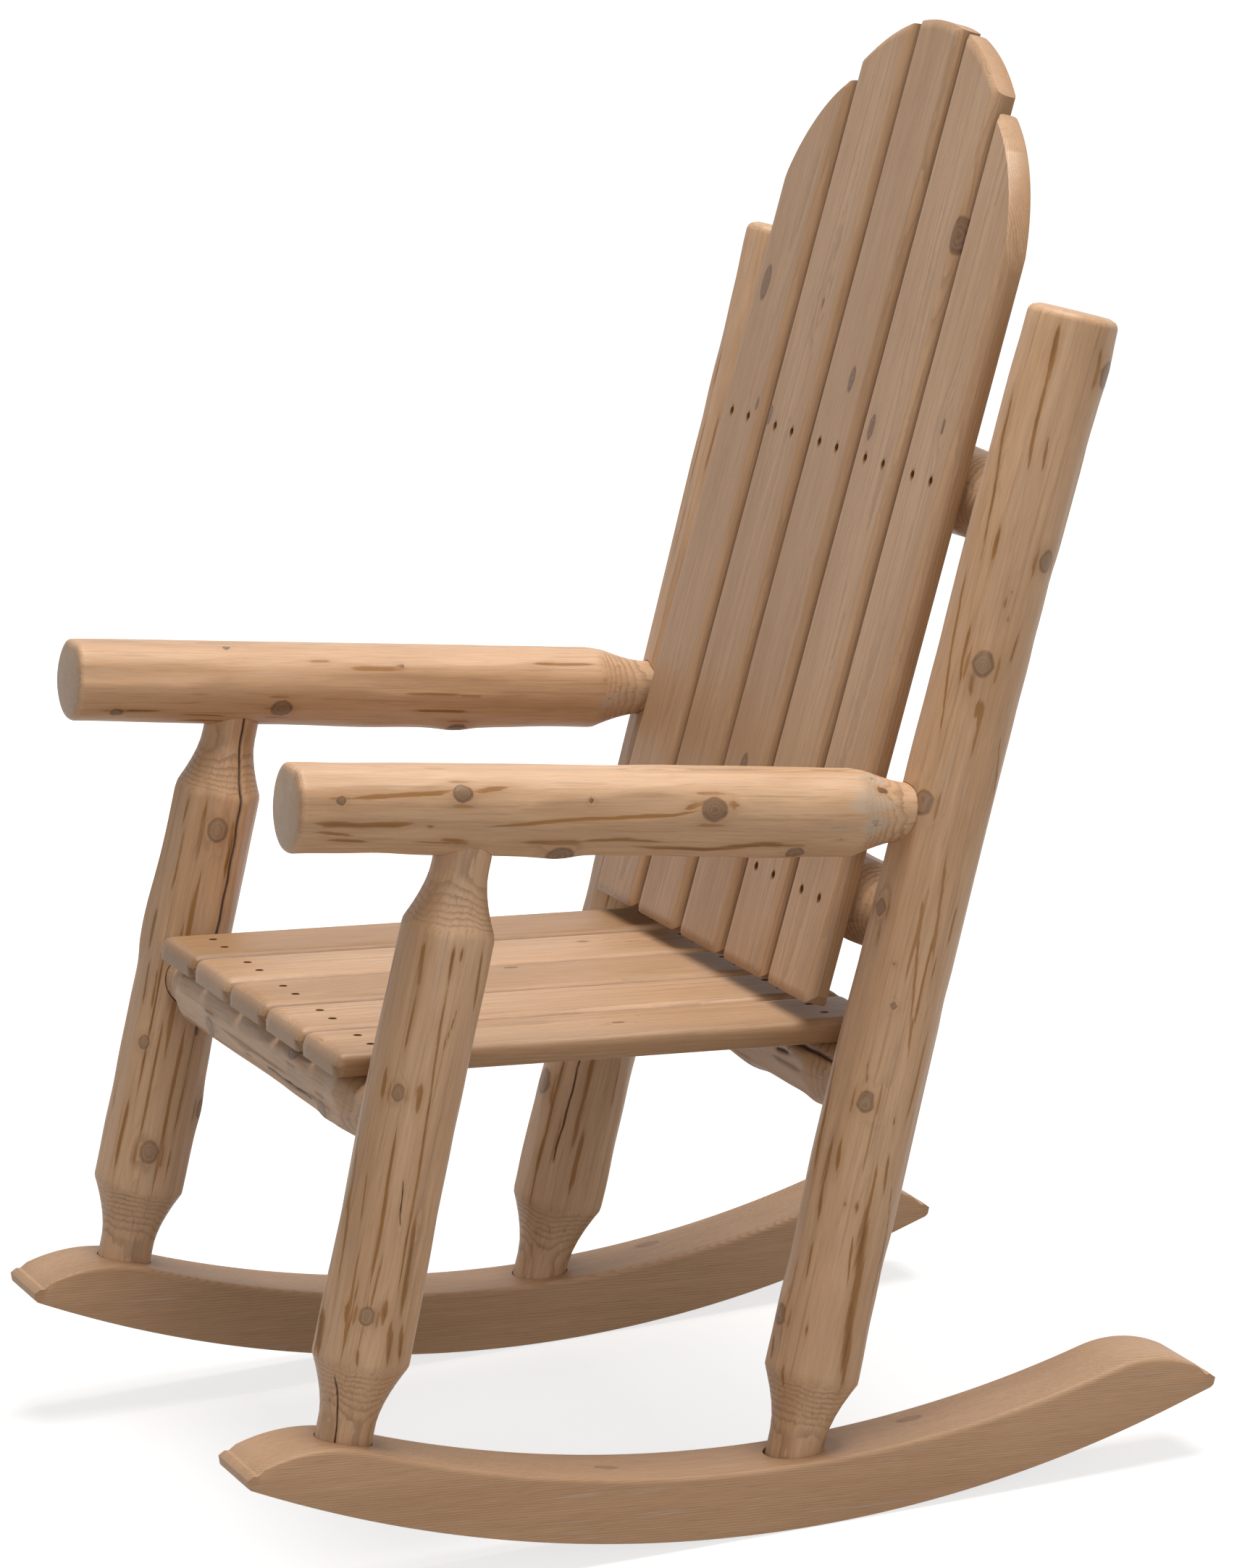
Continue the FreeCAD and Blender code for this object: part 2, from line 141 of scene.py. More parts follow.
def points_of(obj):
    flat = np.empty(len(obj.data.vertices) * 3)
    obj.data.vertices.foreach_get("co", flat)
    return flat.reshape(-1, 3)


def set_points(obj, points):
    obj.data.vertices.foreach_set("co", points.reshape(-1))
    obj.data.update()


def add_attribute(obj, name, kind, values):
    layer = obj.data.attributes.new(name, kind, "POINT")
    field = "vector" if kind == "FLOAT_VECTOR" else "value"
    layer.data.foreach_set(field, np.ascontiguousarray(values, dtype=np.float32).reshape(-1))


def apply_modifier(obj, kind, **settings):
    choose(obj)
    modifier = obj.modifiers.new(kind.title(), kind)
    for key, value in settings.items():
        setattr(modifier, key, value)
    bpy.ops.object.modifier_apply(modifier=modifier.name)


def place(obj, matrix):
    """Put a piece made at the origin in its place and leave the object unturned."""
    choose(obj)
    obj.matrix_world = matrix
    bpy.ops.object.transform_apply(location=True, rotation=True, scale=True)


def join(parts):
    """Join pieces into the first of them."""
    deselect_all()
    for part in parts:
        part.select_set(True)
    bpy.context.view_layer.objects.active = parts[0]
    if len(parts) > 1:
        bpy.ops.object.join()
    return bpy.context.object


def cut_away(obj, bits):
    cutter = join(bits)
    apply_modifier(obj, "BOOLEAN", object=cutter, operation="DIFFERENCE", solver="EXACT")
    bpy.data.objects.remove(cutter)


def smooth(obj, angle):
    choose(obj)
    bpy.ops.object.shade_smooth_by_angle(angle=math.radians(angle))


def finish_piece(obj, material, nodes):
    obj.data.materials.clear()
    obj.data.materials.append(material)
    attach(obj, BODY)
    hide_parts(*nodes)


def random_shift(draw):
    """A place of its own in the grain noise for each piece."""
    return np.array([draw.uniform(-5, 5), draw.uniform(-5, 5), draw.uniform(-5, 5)])


def dress(obj, grain, depth, knot, bark, check, end):
    """Write what the wood material reads: grain, ring depth, knots, bark, checks and end grain. Bark
    marks also paint the shade in screw recesses, and the checks carry the painted shade over board
    sides.
    """
    add_attribute(obj, "grain", "FLOAT_VECTOR", grain)
    add_attribute(obj, "ring_depth", "FLOAT", depth)
    add_attribute(obj, "end", "FLOAT", np.broadcast_to(end, depth.shape))
    for name, columns in (("knot", knot), ("bark", bark), ("check", check)):
        columns = [np.broadcast_to(column, depth.shape) for column in columns]
        add_attribute(obj, name, "FLOAT_VECTOR", np.stack(columns, axis=1))


def smoothstep(low, high, values):
    t = np.clip((values - low) / (high - low), 0, 1)
    return t * t * (3 - 2 * t)


def smooth_min(first, second, blend):
    """The smaller of two fields, with the crease between them softened over a blend distance."""
    h = np.clip(0.5 + 0.5 * (second - first) / blend, 0, 1)
    return second * (1 - h) + first * h - blend * h * (1 - h)


def fall(distance, rounding):
    """How far a rounded edge falls away at a distance from the end, as a number below zero."""
    inner = np.clip(rounding - distance, 0, rounding)
    return np.sqrt(rounding ** 2 - inner ** 2) - rounding


def crowded(along, length, crowding):
    """Evenly spaced places, moved towards both ends, as shares of the length."""
    t = 2 * along / length - 1
    return 0.5 + 0.5 * ((1 - crowding) * t + crowding * np.sin(t * math.pi / 2))


def wrapped(turn):
    """The same turn between minus and plus half a circle."""
    return (turn + math.pi) % (2 * math.pi) - math.pi


def followed(line, along):
    """Angle of a line of (along, angle) points at places along a log, and the line's two ends."""
    line = sorted(line)
    places = [point[0] * MM for point in line]
    angles = [math.radians(point[1]) for point in line]
    return np.interp(along, places, angles), places[0], places[-1]


def unevenness(seed, angle, along, longest):
    """Slow random swell over a log, from a few sine waves, between about -1 and 1."""
    draw = random.Random(seed)
    total = np.zeros_like(angle)
    for _ in range(WAVES):
        around = draw.randint(0, 3)
        length = longest * draw.uniform(0.35, 1.0)
        phase = draw.uniform(0, 2 * math.pi)
        total += np.sin(around * angle + 2 * math.pi * along / length + phase)
    return total / math.sqrt(WAVES)


# Shader maths

RING_SPACING = 0.0019
# Colour for darker slats and for the painted shade over the sides of boards
DARKER_AND_SIDE_SHADE_WOOD = (0.25, 0.125, 0.045)
GREY_WOOD = (0.50, 0.38, 0.28)
WORN_DARK = (0.20, 0.13, 0.09)
# Painted shade inside the drying checks
CRACK_PAINTED_SHADE = (0.022, 0.012, 0.007)
STEEL = (0.16, 0.13, 0.10)
STEEL_GRIME = (0.06, 0.04, 0.03)
FLOOR_CLOTH = (0.42, 0.41, 0.40, 1.0)
FLOOR_NEAR = (0.74, 0.74, 0.74)
WHITE = (1.0, 1.0, 1.0)


class Socket:
    """A shader socket that adds Math nodes when Python operators are used on it."""

    def __init__(self, tree, link):
        self.tree = tree
        self.link = link

    def math(self, operation, *others):
        made = self.tree.node("ShaderNodeMath", {"operation": operation}, [self, *others])
        return made.out(0)

    def __add__(self, other):
        return self.math("ADD", other)

    __radd__ = __add__

    def __mul__(self, other):
        return self.math("MULTIPLY", other)

    __rmul__ = __mul__

    def __sub__(self, other):
        return self.math("SUBTRACT", other)

    def __rsub__(self, other):
        return (self * -1) + other

    def __truediv__(self, other):
        return self.math("DIVIDE", other)

    def between(self, low, high):
        """0 below low and 1 above high, with a smooth step from one to the other."""
        made = self.tree.node("ShaderNodeMapRange", {"interpolation_type": "SMOOTHSTEP"},
                              {"Value": self, "From Min": low, "From Max": high})
        return made.out("Result")


class Made:
    """A node that has been added, whose outputs come out as Socket objects."""

    def __init__(self, tree, node):
        self.tree = tree
        self.node = node

    def out(self, key):
        return Socket(self.tree, self.node.outputs[key])


class Tree:
    """The node tree of a material or of the world."""

    def __init__(self, owner):
        owner.use_nodes = True
        self.owner = owner
        self.nodes = owner.node_tree.nodes
        self.links = owner.node_tree.links
        self.nodes.clear()

    def node(self, kind, settings, inputs):
        """Add a node, set its settings, then give its sockets values or links."""
        node = self.nodes.new(kind)
        for key, value in settings.items():
            setattr(node, key, value)
        pairs = inputs.items() if isinstance(inputs, dict) else enumerate(inputs)
        for key, value in pairs:
            socket = node.inputs[key]
            if isinstance(value, Socket):
                self.links.new(value.link, socket)
            else:
                socket.default_value = value
        return Made(self, node)

    def attribute(self, name, output):
        return self.node("ShaderNodeAttribute", {"attribute_name": name}, {}).out(output)

    def three(self, name):
        """The three numbers of a vector attribute."""
        parts = self.node("ShaderNodeSeparateXYZ", {}, [self.attribute(name, "Vector")])
        return parts.out("X"), parts.out("Y"), parts.out("Z")

    def mix(self, first, second, factor):
        """Blend of two colours."""
        values = []
        for colour in (first, second):
            values.append(colour if isinstance(colour, Socket) else (*colour, 1.0))
        made = self.node("ShaderNodeMix", {"data_type": "RGBA"}, {0: factor, 6: values[0], 7: values[1]})
        return made.out(2)

    def noise(self, vector, scale, detail, roughness=0.5):
        inputs = {"Vector": vector, "Scale": scale, "Detail": detail, "Roughness": roughness}
        return self.node("ShaderNodeTexNoise", {}, inputs).out("Fac")

    def seen(self):
        """1 for rays from the camera, a mirror or a clear piece, and 0 for other rays."""
        path = self.node("ShaderNodeLightPath", {}, {})
        rays = path.out("Is Camera Ray") + path.out("Is Glossy Ray") + path.out("Is Transmission Ray")
        return rays.math("MINIMUM", 1.0)

    def output(self, kind, shader):
        self.node(kind, {}, {"Surface": shader.out(0)})
        return self.owner


def scaled(colour, share):
    return [channel * share for channel in colour]


class Wood(Tree):
    """Solid cedar. Each method lays one thing over the base colour, and some change the height."""

    def __init__(self, name, pale, warm):
        super().__init__(bpy.data.materials.new(name))
        self.pale = pale
        self.warm = warm
        self.tint = colours()
        self.grain = self.attribute("grain", "Vector")
        self.end = self.attribute("end", "Fac")
        self.fibre = self.grained(0.04, 900.0, 3.0, 0.6)
        self.figure = self.grained(0.04, 150.0, 4.0, 0.65)
        self.mottle = self.grained(0.05, 330.0, 4.0, 0.7)
        self.waver = self.grained(0.4, 260.0, 2.0)
        self.base = None
        self.height = self.fibre * 0.45 + self.figure * 0.2

    def grained(self, stretch, scale, detail, roughness=0.5):
        """Noise drawn out along the grain."""
        drawn = self.node("ShaderNodeVectorMath", {"operation": "MULTIPLY"},
                          {0: self.grain, 1: (1.0, 1.0, stretch)})
        return self.noise(drawn.out(0), scale, detail, roughness)

    def lay(self, colour, factor):
        self.base = self.mix(self.base, colour, factor)

    def body(self, darker_and_side_shade):
        """Pale and warm zones, sawn ends, darker slats and painted shade over the sides of boards."""
        zone = self.grained(0.2, 16.0, 3.0)
        tone = zone.between(0.28, 0.72) * 0.7 + (self.figure - 0.5) * 1.3 + 0.05
        self.base = self.mix(self.pale, self.warm, tone.math("MAXIMUM", 0.0).math("MINIMUM", 1.0))
        self.lay(self.tint.end_grain, self.end * 0.85)
        # Darker slats, then painted shade over the sides of boards
        self.lay(DARKER_AND_SIDE_SHADE_WOOD, darker_and_side_shade)

    def rings(self, strength):
        """Year rings by the depth below the bark, then the fibres between them."""
        depth = self.attribute("ring_depth", "Fac")
        wobble = self.grained(0.14, 45.0, 3.0)
        place = (depth + (wobble - 0.5) * 0.0040 + (self.waver - 0.5) * 0.0009) / RING_SPACING
        phase = place.math("FRACT")
        late_wood = phase.between(0.35, 0.9) * (1 - phase.between(0.92, 1.0))
        tone = self.grained(0.04, 60.0, 2.0)
        mask = late_wood * strength * (tone.between(0.25, 0.7) * 0.7 + 0.3)
        mask = mask * depth.between(0.0010, 0.0035)
        self.lay(scaled(self.warm, 0.45), mask * 0.8)
        self.lay(scaled(self.warm, 0.55), self.fibre.between(0.48, 0.8) * 0.34)
        light = [min(channel, 1.0) for channel in scaled(self.pale, 1.25)]
        self.lay(light, (1 - self.fibre).between(0.5, 0.8) * 0.22)
        self.height = self.height - mask * 0.5

    def hairlines(self, strength):
        hair = self.grained(0.018, 330.0, 3.0, 0.6)
        lines = hair.between(0.54, 0.72) * (1 - self.end) * strength
        self.lay(scaled(self.warm, 0.45), lines * 0.42)

    def streaks(self, within, strong):
        """Streaks of inner bark with ragged edges, a tan halo and here and there a dark core; on slats
        the same marks paint the shade in and around the screw recesses.
        """
        thin = self.grained(0.05, 520.0, 3.0, 0.65)
        streaks = (within + (thin - 0.5) * 2.0).between(-0.15, 0.4) * strong.between(0.02, 0.65)
        halo = (within + (self.mottle - 0.5) * 2.0).between(-2.4, 0.6) * strong
        core = (within + (self.mottle - 0.5) * 3.0).between(0.45, 1.1) * strong.between(0.75, 0.98)
        self.lay(scaled(self.warm, 0.78), halo * 0.42)
        self.lay(self.tint.inner_bark, streaks * 0.95)
        self.lay(self.tint.dark_bark, streaks * core * 0.7)
        self.height = self.height - streaks * 0.25
        return streaks

    def worn(self, place):
        """Rough patches that have gone grey."""
        worn = place + (self.figure - 0.5) * 2.4
        self.lay(GREY_WOOD, worn.between(0.25, 0.6) * 0.7)
        self.lay(WORN_DARK, worn.between(0.8, 1.1) * 0.6)

    def knots(self, knot, dark):
        """Round knots with rings in their hearts, a dark rim and a warm surround."""
        inside = 1 - knot.between(0.85, 1.0)
        rim = knot.between(0.80, 0.98) * (1 - knot.between(1.02, 1.28))
        rings = (knot * 3.3 + (self.waver - 0.5) * 0.8).math("FRACT").between(0.3, 0.9)
        knot_wood = self.tint.knot_wood
        pale_heart = self.mix(scaled(self.pale, 0.82), self.warm, rings * 0.6)
        dark_heart = self.mix(knot_wood, scaled(knot_wood, 0.5), rings * 0.7)
        self.lay(self.warm, (1 - knot.between(0.9, 2.6)) * 0.5)
        self.lay(self.mix(pale_heart, dark_heart, dark), inside)
        self.lay(self.tint.dark_bark, rim * (0.25 + 0.6 * dark) * (0.5 + self.waver))
        self.height = self.height - rim * 0.8

    def cracks(self, side, open_here):
        """Drying checks, painted black inside as painted shade, with a stained edge."""
        off_line = side.math("ABSOLUTE") + (self.waver - 0.5) * 0.5
        crack = (1 - off_line.between(0.55, 1.0)) * open_here.between(0.3, 0.6)
        self.lay(CRACK_PAINTED_SHADE, crack * 0.93)
        stain = (1 - off_line.between(0.8, 2.6)) * open_here.between(0.3, 0.7)
        self.lay(self.tint.dark_bark, stain * 0.35)
        self.height = self.height - crack * 2.5


def wood_material(name, pale, warm, ring_strength, streak_strength, roughness):
    """Cedar with rings, fibres, bark streaks, worn patches, knots and checks."""
    wood = Wood(name, pale, warm)
    knot, knot_dark, _ = wood.three("knot")
    within, strong, worn_place = wood.three("bark")
    # The checks' third number is the darkening of slats and the painted shade over their sides
    check_side, check_open, darker_and_side_shade = wood.three("check")
    wood.body(darker_and_side_shade)
    wood.rings(ring_strength)
    wood.hairlines(streak_strength)
    streaks = wood.streaks(within, strong)
    wood.worn(worn_place)
    wood.knots(knot, knot_dark)
    wood.cracks(check_side, check_open)
    bump = wood.node("ShaderNodeBump", {}, {"Strength": 0.35, "Distance": 0.0007, "Height": wood.height})
    shine = roughness + (wood.fibre - 0.5) * 0.2 + streaks * 0.06
    shader = wood.node("ShaderNodeBsdfPrincipled", {}, {
        "Base Color": wood.base, "Roughness": shine, "Normal": bump.out(0), "Specular IOR Level": 0.5})
    return wood.output("ShaderNodeOutputMaterial", shader)


def steel_material(name):
    tree = Tree(bpy.data.materials.new(name))
    place_in = tree.node("ShaderNodeTexCoord", {}, {}).out("Object")
    grime = tree.noise(place_in, 900.0, 3.0)
    base = tree.mix(STEEL, STEEL_GRIME, grime.between(0.35, 0.65))
    shader = tree.node("ShaderNodeBsdfPrincipled", {}, {
        "Base Color": base, "Roughness": 0.35 + grime * 0.35, "Metallic": 0.85})
    return tree.output("ShaderNodeOutputMaterial", shader)


def floor_material():
    """Pale floor: nearly white to the camera, but it keeps the shadow of the chair."""
    tree = Tree(bpy.data.materials.new("pale_floor"))
    place_in = tree.node("ShaderNodeTexCoord", {}, {}).out("Object")
    from_chair = tree.node("ShaderNodeVectorMath", {"operation": "LENGTH"}, [place_in]).out("Value")
    cloth = tree.node("ShaderNodeBsdfDiffuse", {}, {"Color": FLOOR_CLOTH})
    white = tree.mix(FLOOR_NEAR, WHITE, from_chair.between(0.7, 2.2))
    glow = tree.node("ShaderNodeEmission", {}, {"Color": white})
    both = tree.node("ShaderNodeAddShader", {}, [cloth.out(0), glow.out(0)])
    mixed = tree.node("ShaderNodeMixShader", {}, [tree.seen(), cloth.out(0), both.out(0)])
    return tree.output("ShaderNodeOutputMaterial", mixed)


# Logs
# A feature on a log is given by its distance along the log and its angle round it.
# On posts and arms the angle starts at the sitter's left and goes over the rear of a
# post, or the underside of an arm. On rails it starts at the front and goes under.

LOG_LINES = {
    "front_post": {"start": (-0.3276, 0.0929), "end": (-0.1747, 0.6169), "radii": (0.039, 0.037),
                   "tenons": (0.064, 0.068)},
    "back_post": {"start": (0.0427, 0.0182), "end": (0.3464, 0.9384), "radii": (0.0386, 0.037),
                  "tenons": (0.064, 0.0), "end_round": 0.008},
    "arm": {"start": (-0.3261, 0.6320), "end": (0.2232, 0.5522), "radii": (0.0365, 0.0365),
            "tenons": (0.0, 0.052), "end_round": 0.006, "planed": (-90.0, 0.005)},
}

RAIL_HALF = 0.298
RAIL_LINES = {
    "front_seat_rail": {"centre": (-0.2475, 0.3676), "radius": 0.031, "planed": (-94.67, 0.004)},
    "rear_seat_rail": {"centre": (0.1473, 0.3354), "radius": 0.031, "planed": (-94.67, 0.004)},
    "lower_back_rail": {"centre": (0.1847, 0.4651), "radius": 0.036, "planed": (-19.67, 0.0045)},
    "upper_back_rail": {"centre": (0.2985, 0.7834), "radius": 0.036, "planed": (-19.67, 0.0045)},
}
RAIL_TENON = 0.050

# The tenon cutter bites a little before the shoulder, and then opens out by this power
CUTTER_LEAD = 0.012
SHOULDER_POWER = 1.6

# A radius beyond any log, where a flat or the cutter doesn't reach
FAR = 1.0

# How softly a flat, the planed face and the cutter meet the rest of the log
FLAT_BLEND = 0.0004
PLANE_BLEND = 0.0006
CUTTER_BLEND = 0.0008

# Unevenness of the logs as they grew: a mark for the seed, the height and the longest wave
UNEVEN = (("a", 0.0009, 0.5), ("b", 0.0004, 0.14))
WAVES = 6

# Points round a log, and steps between its rings on the length, at shoulders and at free ends
LOG_SEGMENTS = 176
LENGTH_STEP = 0.0036
SHOULDER_STEP = 0.0016
END_STEP = 0.0007

# Nearer to the end than this is on the sawn end
AT_END = 0.0002

# A bore starts this far past its tenon's tip
BORE_PAST = 0.0005
BORE_LENGTH = 0.10

# Knots: along, angle, radius and height in mm and degrees
KNOTS = {
    "arm_left": [
        (131, -27, 6.5, 2.2), (337, -10, 8.5, 2.6), (218, 60, 9, 3.0), (32, -17, 3.5, 0.3),
        (236, -20, 2.2, 0.2), (483, -43, 4.0, 0.5), (412, 52, 6, 1.5),
    ],
    "arm_right": [
        (36, 40, 4.5, 0.8), (179, 29, 7.5, 1.8), (282, -32, 3.0, 0.2), (342, 70, 8, 2.5),
        (132, -60, 3, 0.3), (432, 150, 8, 2.5),
    ],
    "front_post_left": [
        (316, -40, 5.5, 0.8), (141, -23, 6.0, 0.8), (226, 100, 8, 2.2), (386, 160, 7, 1.5),
    ],
    "front_post_right": [
        (135, -14, 8, 1.5), (415, -9, 8.5, 1.2), (176, 60, 8, 2.0), (296, 170, 7, 0.3),
        (226, -50, 5, 1.0),
    ],
    "back_post_left": [
        (926, 46, 9, 3.5), (774, 27, 7.5, 1.2), (685, -22, 8.5, 3.0), (568, -51, 8, 2.8),
        (479, -78, 6, 1.0), (328, -33, 7, 1.6), (145, -84, 7, 3.0), (436, -39, 3, 0.1),
        (407, -27, 2.6, 0.1), (646, 150, 9, 2.5), (296, 120, 8, 2.0), (836, 170, 5, 1.2),
    ],
    "back_post_right": [
        (204, -86, 9.0, 3.0), (696, -20, 7.0, 2.0), (516, 140, 9, 2.5), (846, 60, 7, 2.0),
        (376, 30, 6, 1.5),
    ],
    "front_seat_rail": [(397, -44, 9.0, 3.0), (470, 20, 8, 2.0), (180, 10, 8, 2.5), (300, 120, 8, 3.0)],
    "rear_seat_rail": [(350, 84, 16.0, 5.0), (150, 20, 8, 2.0), (240, 150, 8, 2.0)],
    "lower_back_rail": [(560, 20, 6, 1.0), (120, 140, 8, 2.0), (330, 170, 8, 2.5)],
    "upper_back_rail": [(90, 60, 8, 2.0), (260, 150, 9, 2.5), (480, 110, 7, 2.0)],
}

# Share of a swelling that the flats cut through, and the share that the knife leaves standing
KNOT_STANDS = 0.3
KNIFE_LEAVES = 0.7

# Swellings without a knot in sight: along, angle, radius and height
SWELLINGS = {
    "front_post_right": [(328, -92, 22, 4.5)],
    "front_seat_rail": [(522, -60, 24, 3.5)],
    "rear_seat_rail": [(540, 60, 24, 3.5)],
}

# Distance from a knot where none is near, in its own radii, and how far knots push the rings
NO_KNOT = 9.0
KNOT_PUSH = 0.0035

# How dark the knots of each kind of log are
KNOT_DARKNESS = {"front_post": 0.6, "back_post": 0.7, "arm": 0.9, "rail": 0.7}

# Streaks of inner bark: width, strength and a line of (along, angle) points
STREAKS = {
    "front_post_left": [
        (4, 1, [(436, -46), (398, -42)]), (2, 0.7, [(398, -42), (347, -43)]),
        (4, 1, [(436, -9), (409, -7)]),
        (2.2, 1, [(409, -7), (372, -6), (320, -1), (254, 5), (206, 6), (157, 10)]),
        (3, 1, [(436, 2), (424, 2)]), (3.5, 0.7, [(435, 33), (387, 41)]),
        (3, 0.8, [(434, -91), (349, -101), (280, -89), (205, -75), (150, -70)]),
        (5, 0.6, [(259, -82), (215, -81)]), (5, 0.8, [(333, -62), (307, -60)]),
        (6, 1, [(327, -16), (304, -13)]), (3, 0.85, [(289, -33), (245, -30), (206, -27), (164, -27)]),
        (2, 0.5, [(254, -60), (211, -54)]), (6, 0.9, [(223, 14), (184, 18), (146, 20)]),
        (5, 0.9, [(148, -49), (135, -46)]), (6, 1, [(156, -4), (137, -3)]),
        (6, 1, [(140, 8), (106, 14)]), (5, 1, [(138, 26), (109, 32)]),
        (3, 0.9, [(116, -26), (100, -22)]), (9, 1, [(137, -88), (100, -80)]),
        (2.2, 0.6, [(390, 12), (355, 3)]),
    ],
    "back_post_left": [
        (6, 1, [(956, -40), (916, -36)]), (3.5, 1, [(916, -36), (878, -35), (842, -30)]),
        (3, 0.9, [(904, -79), (856, -74), (814, -65), (762, -59)]), (4, 1, [(796, -44), (764, -43)]),
        (4, 0.5, [(741, -19), (722, -5)]), (4, 0.8, [(947, 23), (918, 29)]),
        (3, 0.7, [(870, -16), (844, -12)]), (4, 0.9, [(777, 9), (762, 10)]),
        (6, 1, [(680, -32), (659, -28)]), (8, 0.6, [(659, -14), (639, -10)]),
        (3, 0.7, [(628, 27), (558, 50)]), (2, 0.6, [(759, -78), (690, -69), (617, -51)]),
        (4, 0.9, [(468, -71), (448, -70)]), (2, 0.5, [(502, -26), (367, 6)]),
        (4, 0.8, [(396, -115), (345, -93), (259, -82)]), (2, 0.6, [(360, -42), (339, -36)]),
        (5, 0.9, [(294, -65), (254, -64), (226, -58)]), (5, 0.9, [(296, -52), (269, -48)]),
        (2, 0.8, [(324, 5), (307, 10)]), (3, 0.6, [(290, 10), (259, 15)]),
        (4, 1, [(250, -15), (240, -14)]), (3, 0.9, [(249, -30), (243, -29)]),
        (9, 1.15, [(248, -2), (218, 2), (184, 9), (149, 9), (101, 18)]),
        (2, 0.6, [(225, -12), (179, -4)]), (2, 0.6, [(277, 21), (180, 56), (106, 64)]),
        (2.5, 1, [(145, -42), (132, -40)]), (5, 0.9, [(129, -94), (109, -87)]),
        (6, 0.5, [(746, -17), (744, 7)]), (3, 0.5, [(534, -8), (448, 7)]),
        (2.5, 0.6, [(377, 64), (313, 64)]),
    ],
    "arm_left": [
        (4, 0.9, [(23, -19), (41, -20)]), (4, 0.6, [(41, -20), (65, -23), (110, -27), (126, -32)]),
        (5, 0.6, [(140, -29), (167, -37)]), (6, 0.9, [(12, 10), (50, 14), (91, 10)]),
        (3, 0.7, [(102, 13), (109, 16)]), (3, 0.8, [(15, 22), (45, 28)]),
        (4, 0.9, [(26, 35), (56, 37)]), (6, 1, [(117, 34), (141, 39)]),
        (3, 0.7, [(150, 15), (212, 4), (304, -3), (325, -9)]), (5, 0.8, [(311, -9), (330, -20)]),
        (8, 1, [(348, -17), (357, -15)]), (6, 0.9, [(183, 36), (232, 35)]),
        (4, 0.8, [(232, 33), (264, 29), (299, 34)]),
        (6, 0.95, [(277, 43), (335, 50), (383, 37), (414, 41)]), (3, 1, [(423, 79), (444, 79)]),
        (4, 0.9, [(442, 12), (447, 12)]), (3, 0.9, [(442, 29), (448, 29)]),
    ],
    "arm_right": [
        (3.6, 1, [(21, 37), (75, 37)]), (4.2, 0.9, [(165, 29), (189, 29)]),
        (4.2, 0.5, [(237, -28), (287, -28)]), (2.4, 0.45, [(282, 5), (342, 5)]),
        (3, 0.6, [(297, 30), (347, 30)]), (5.4, 1, [(317, 75), (407, 75)]),
        (3.6, 0.8, [(92, 60), (172, 60)]), (3, 0.6, [(402, -40), (462, -40)]),
    ],
    "front_post_right": [
        (4.8, 0.9, [(386, -30), (436, -30)]), (3.6, 0.9, [(376, 12), (416, 12)]),
        (3.6, 1, [(303, -72), (339, -72)]), (3.6, 1, [(256, -66), (296, -66)]),
        (4.8, 0.7, [(216, -20), (376, -20)]), (2.4, 1, [(186, -45), (306, -45)]),
        (2.4, 1, [(136, -30), (256, -30)]), (3.6, 0.8, [(106, 0), (246, 0)]),
        (2.4, 0.9, [(156, 14), (276, 14)]), (1.8, 0.8, [(356, -52), (416, -52)]),
        (4.2, 0.9, [(116, -55), (176, -55)]),
    ],
    "back_post_right": [
        (3.6, 1, [(116, -60), (236, -60)]), (4.2, 0.8, [(146, -20), (306, -20)]),
        (4.8, 0.9, [(116, -10), (176, -10)]), (3.6, 0.7, [(596, -40), (796, -40)]),
        (3, 0.7, [(786, 0), (906, 0)]), (3, 0.7, [(421, -60), (571, -60)]),
    ],
    "front_seat_rail": [
        (4.2, 0.9, [(430, 10), (490, 10)]), (3.6, 0.9, [(360, 40), (420, 40)]),
        (3, 0.6, [(220, 0), (380, 0)]), (3.6, 0.8, [(90, 30), (210, 30)]),
        (4.8, 0.9, [(475, 60), (525, 60)]),
    ],
    "rear_seat_rail": [
        (4.2, 0.9, [(440, 0), (500, 0)]), (4.8, 0.8, [(375, 60), (465, 60)]),
        (4.2, 0.7, [(120, 40), (280, 40)]),
    ],
    "lower_back_rail": [(4.2, 0.9, [(530, 10), (570, 10)]), (4.2, 0.7, [(200, 120), (400, 120)])],
    "upper_back_rail": [
        (4.2, 0.8, [(35, 60), (85, 60)]), (4.2, 0.7, [(200, 140), (400, 140)]),
        (3.6, 0.7, [(460, 60), (540, 60)]),
    ],
}

# Rough patches that have gone grey: along, angle and radius
WORN = {
    "arm_left": [(470, -26, 20), (476, 8, 14), (478, -62, 14)],
    "arm_right": [(474, 10, 14)],
}

# How many thin streaks more each kind of log gets at random places
LOOSE_STREAKS = {"front_post": 16, "back_post": 30, "arm": 7, "rail": 16}

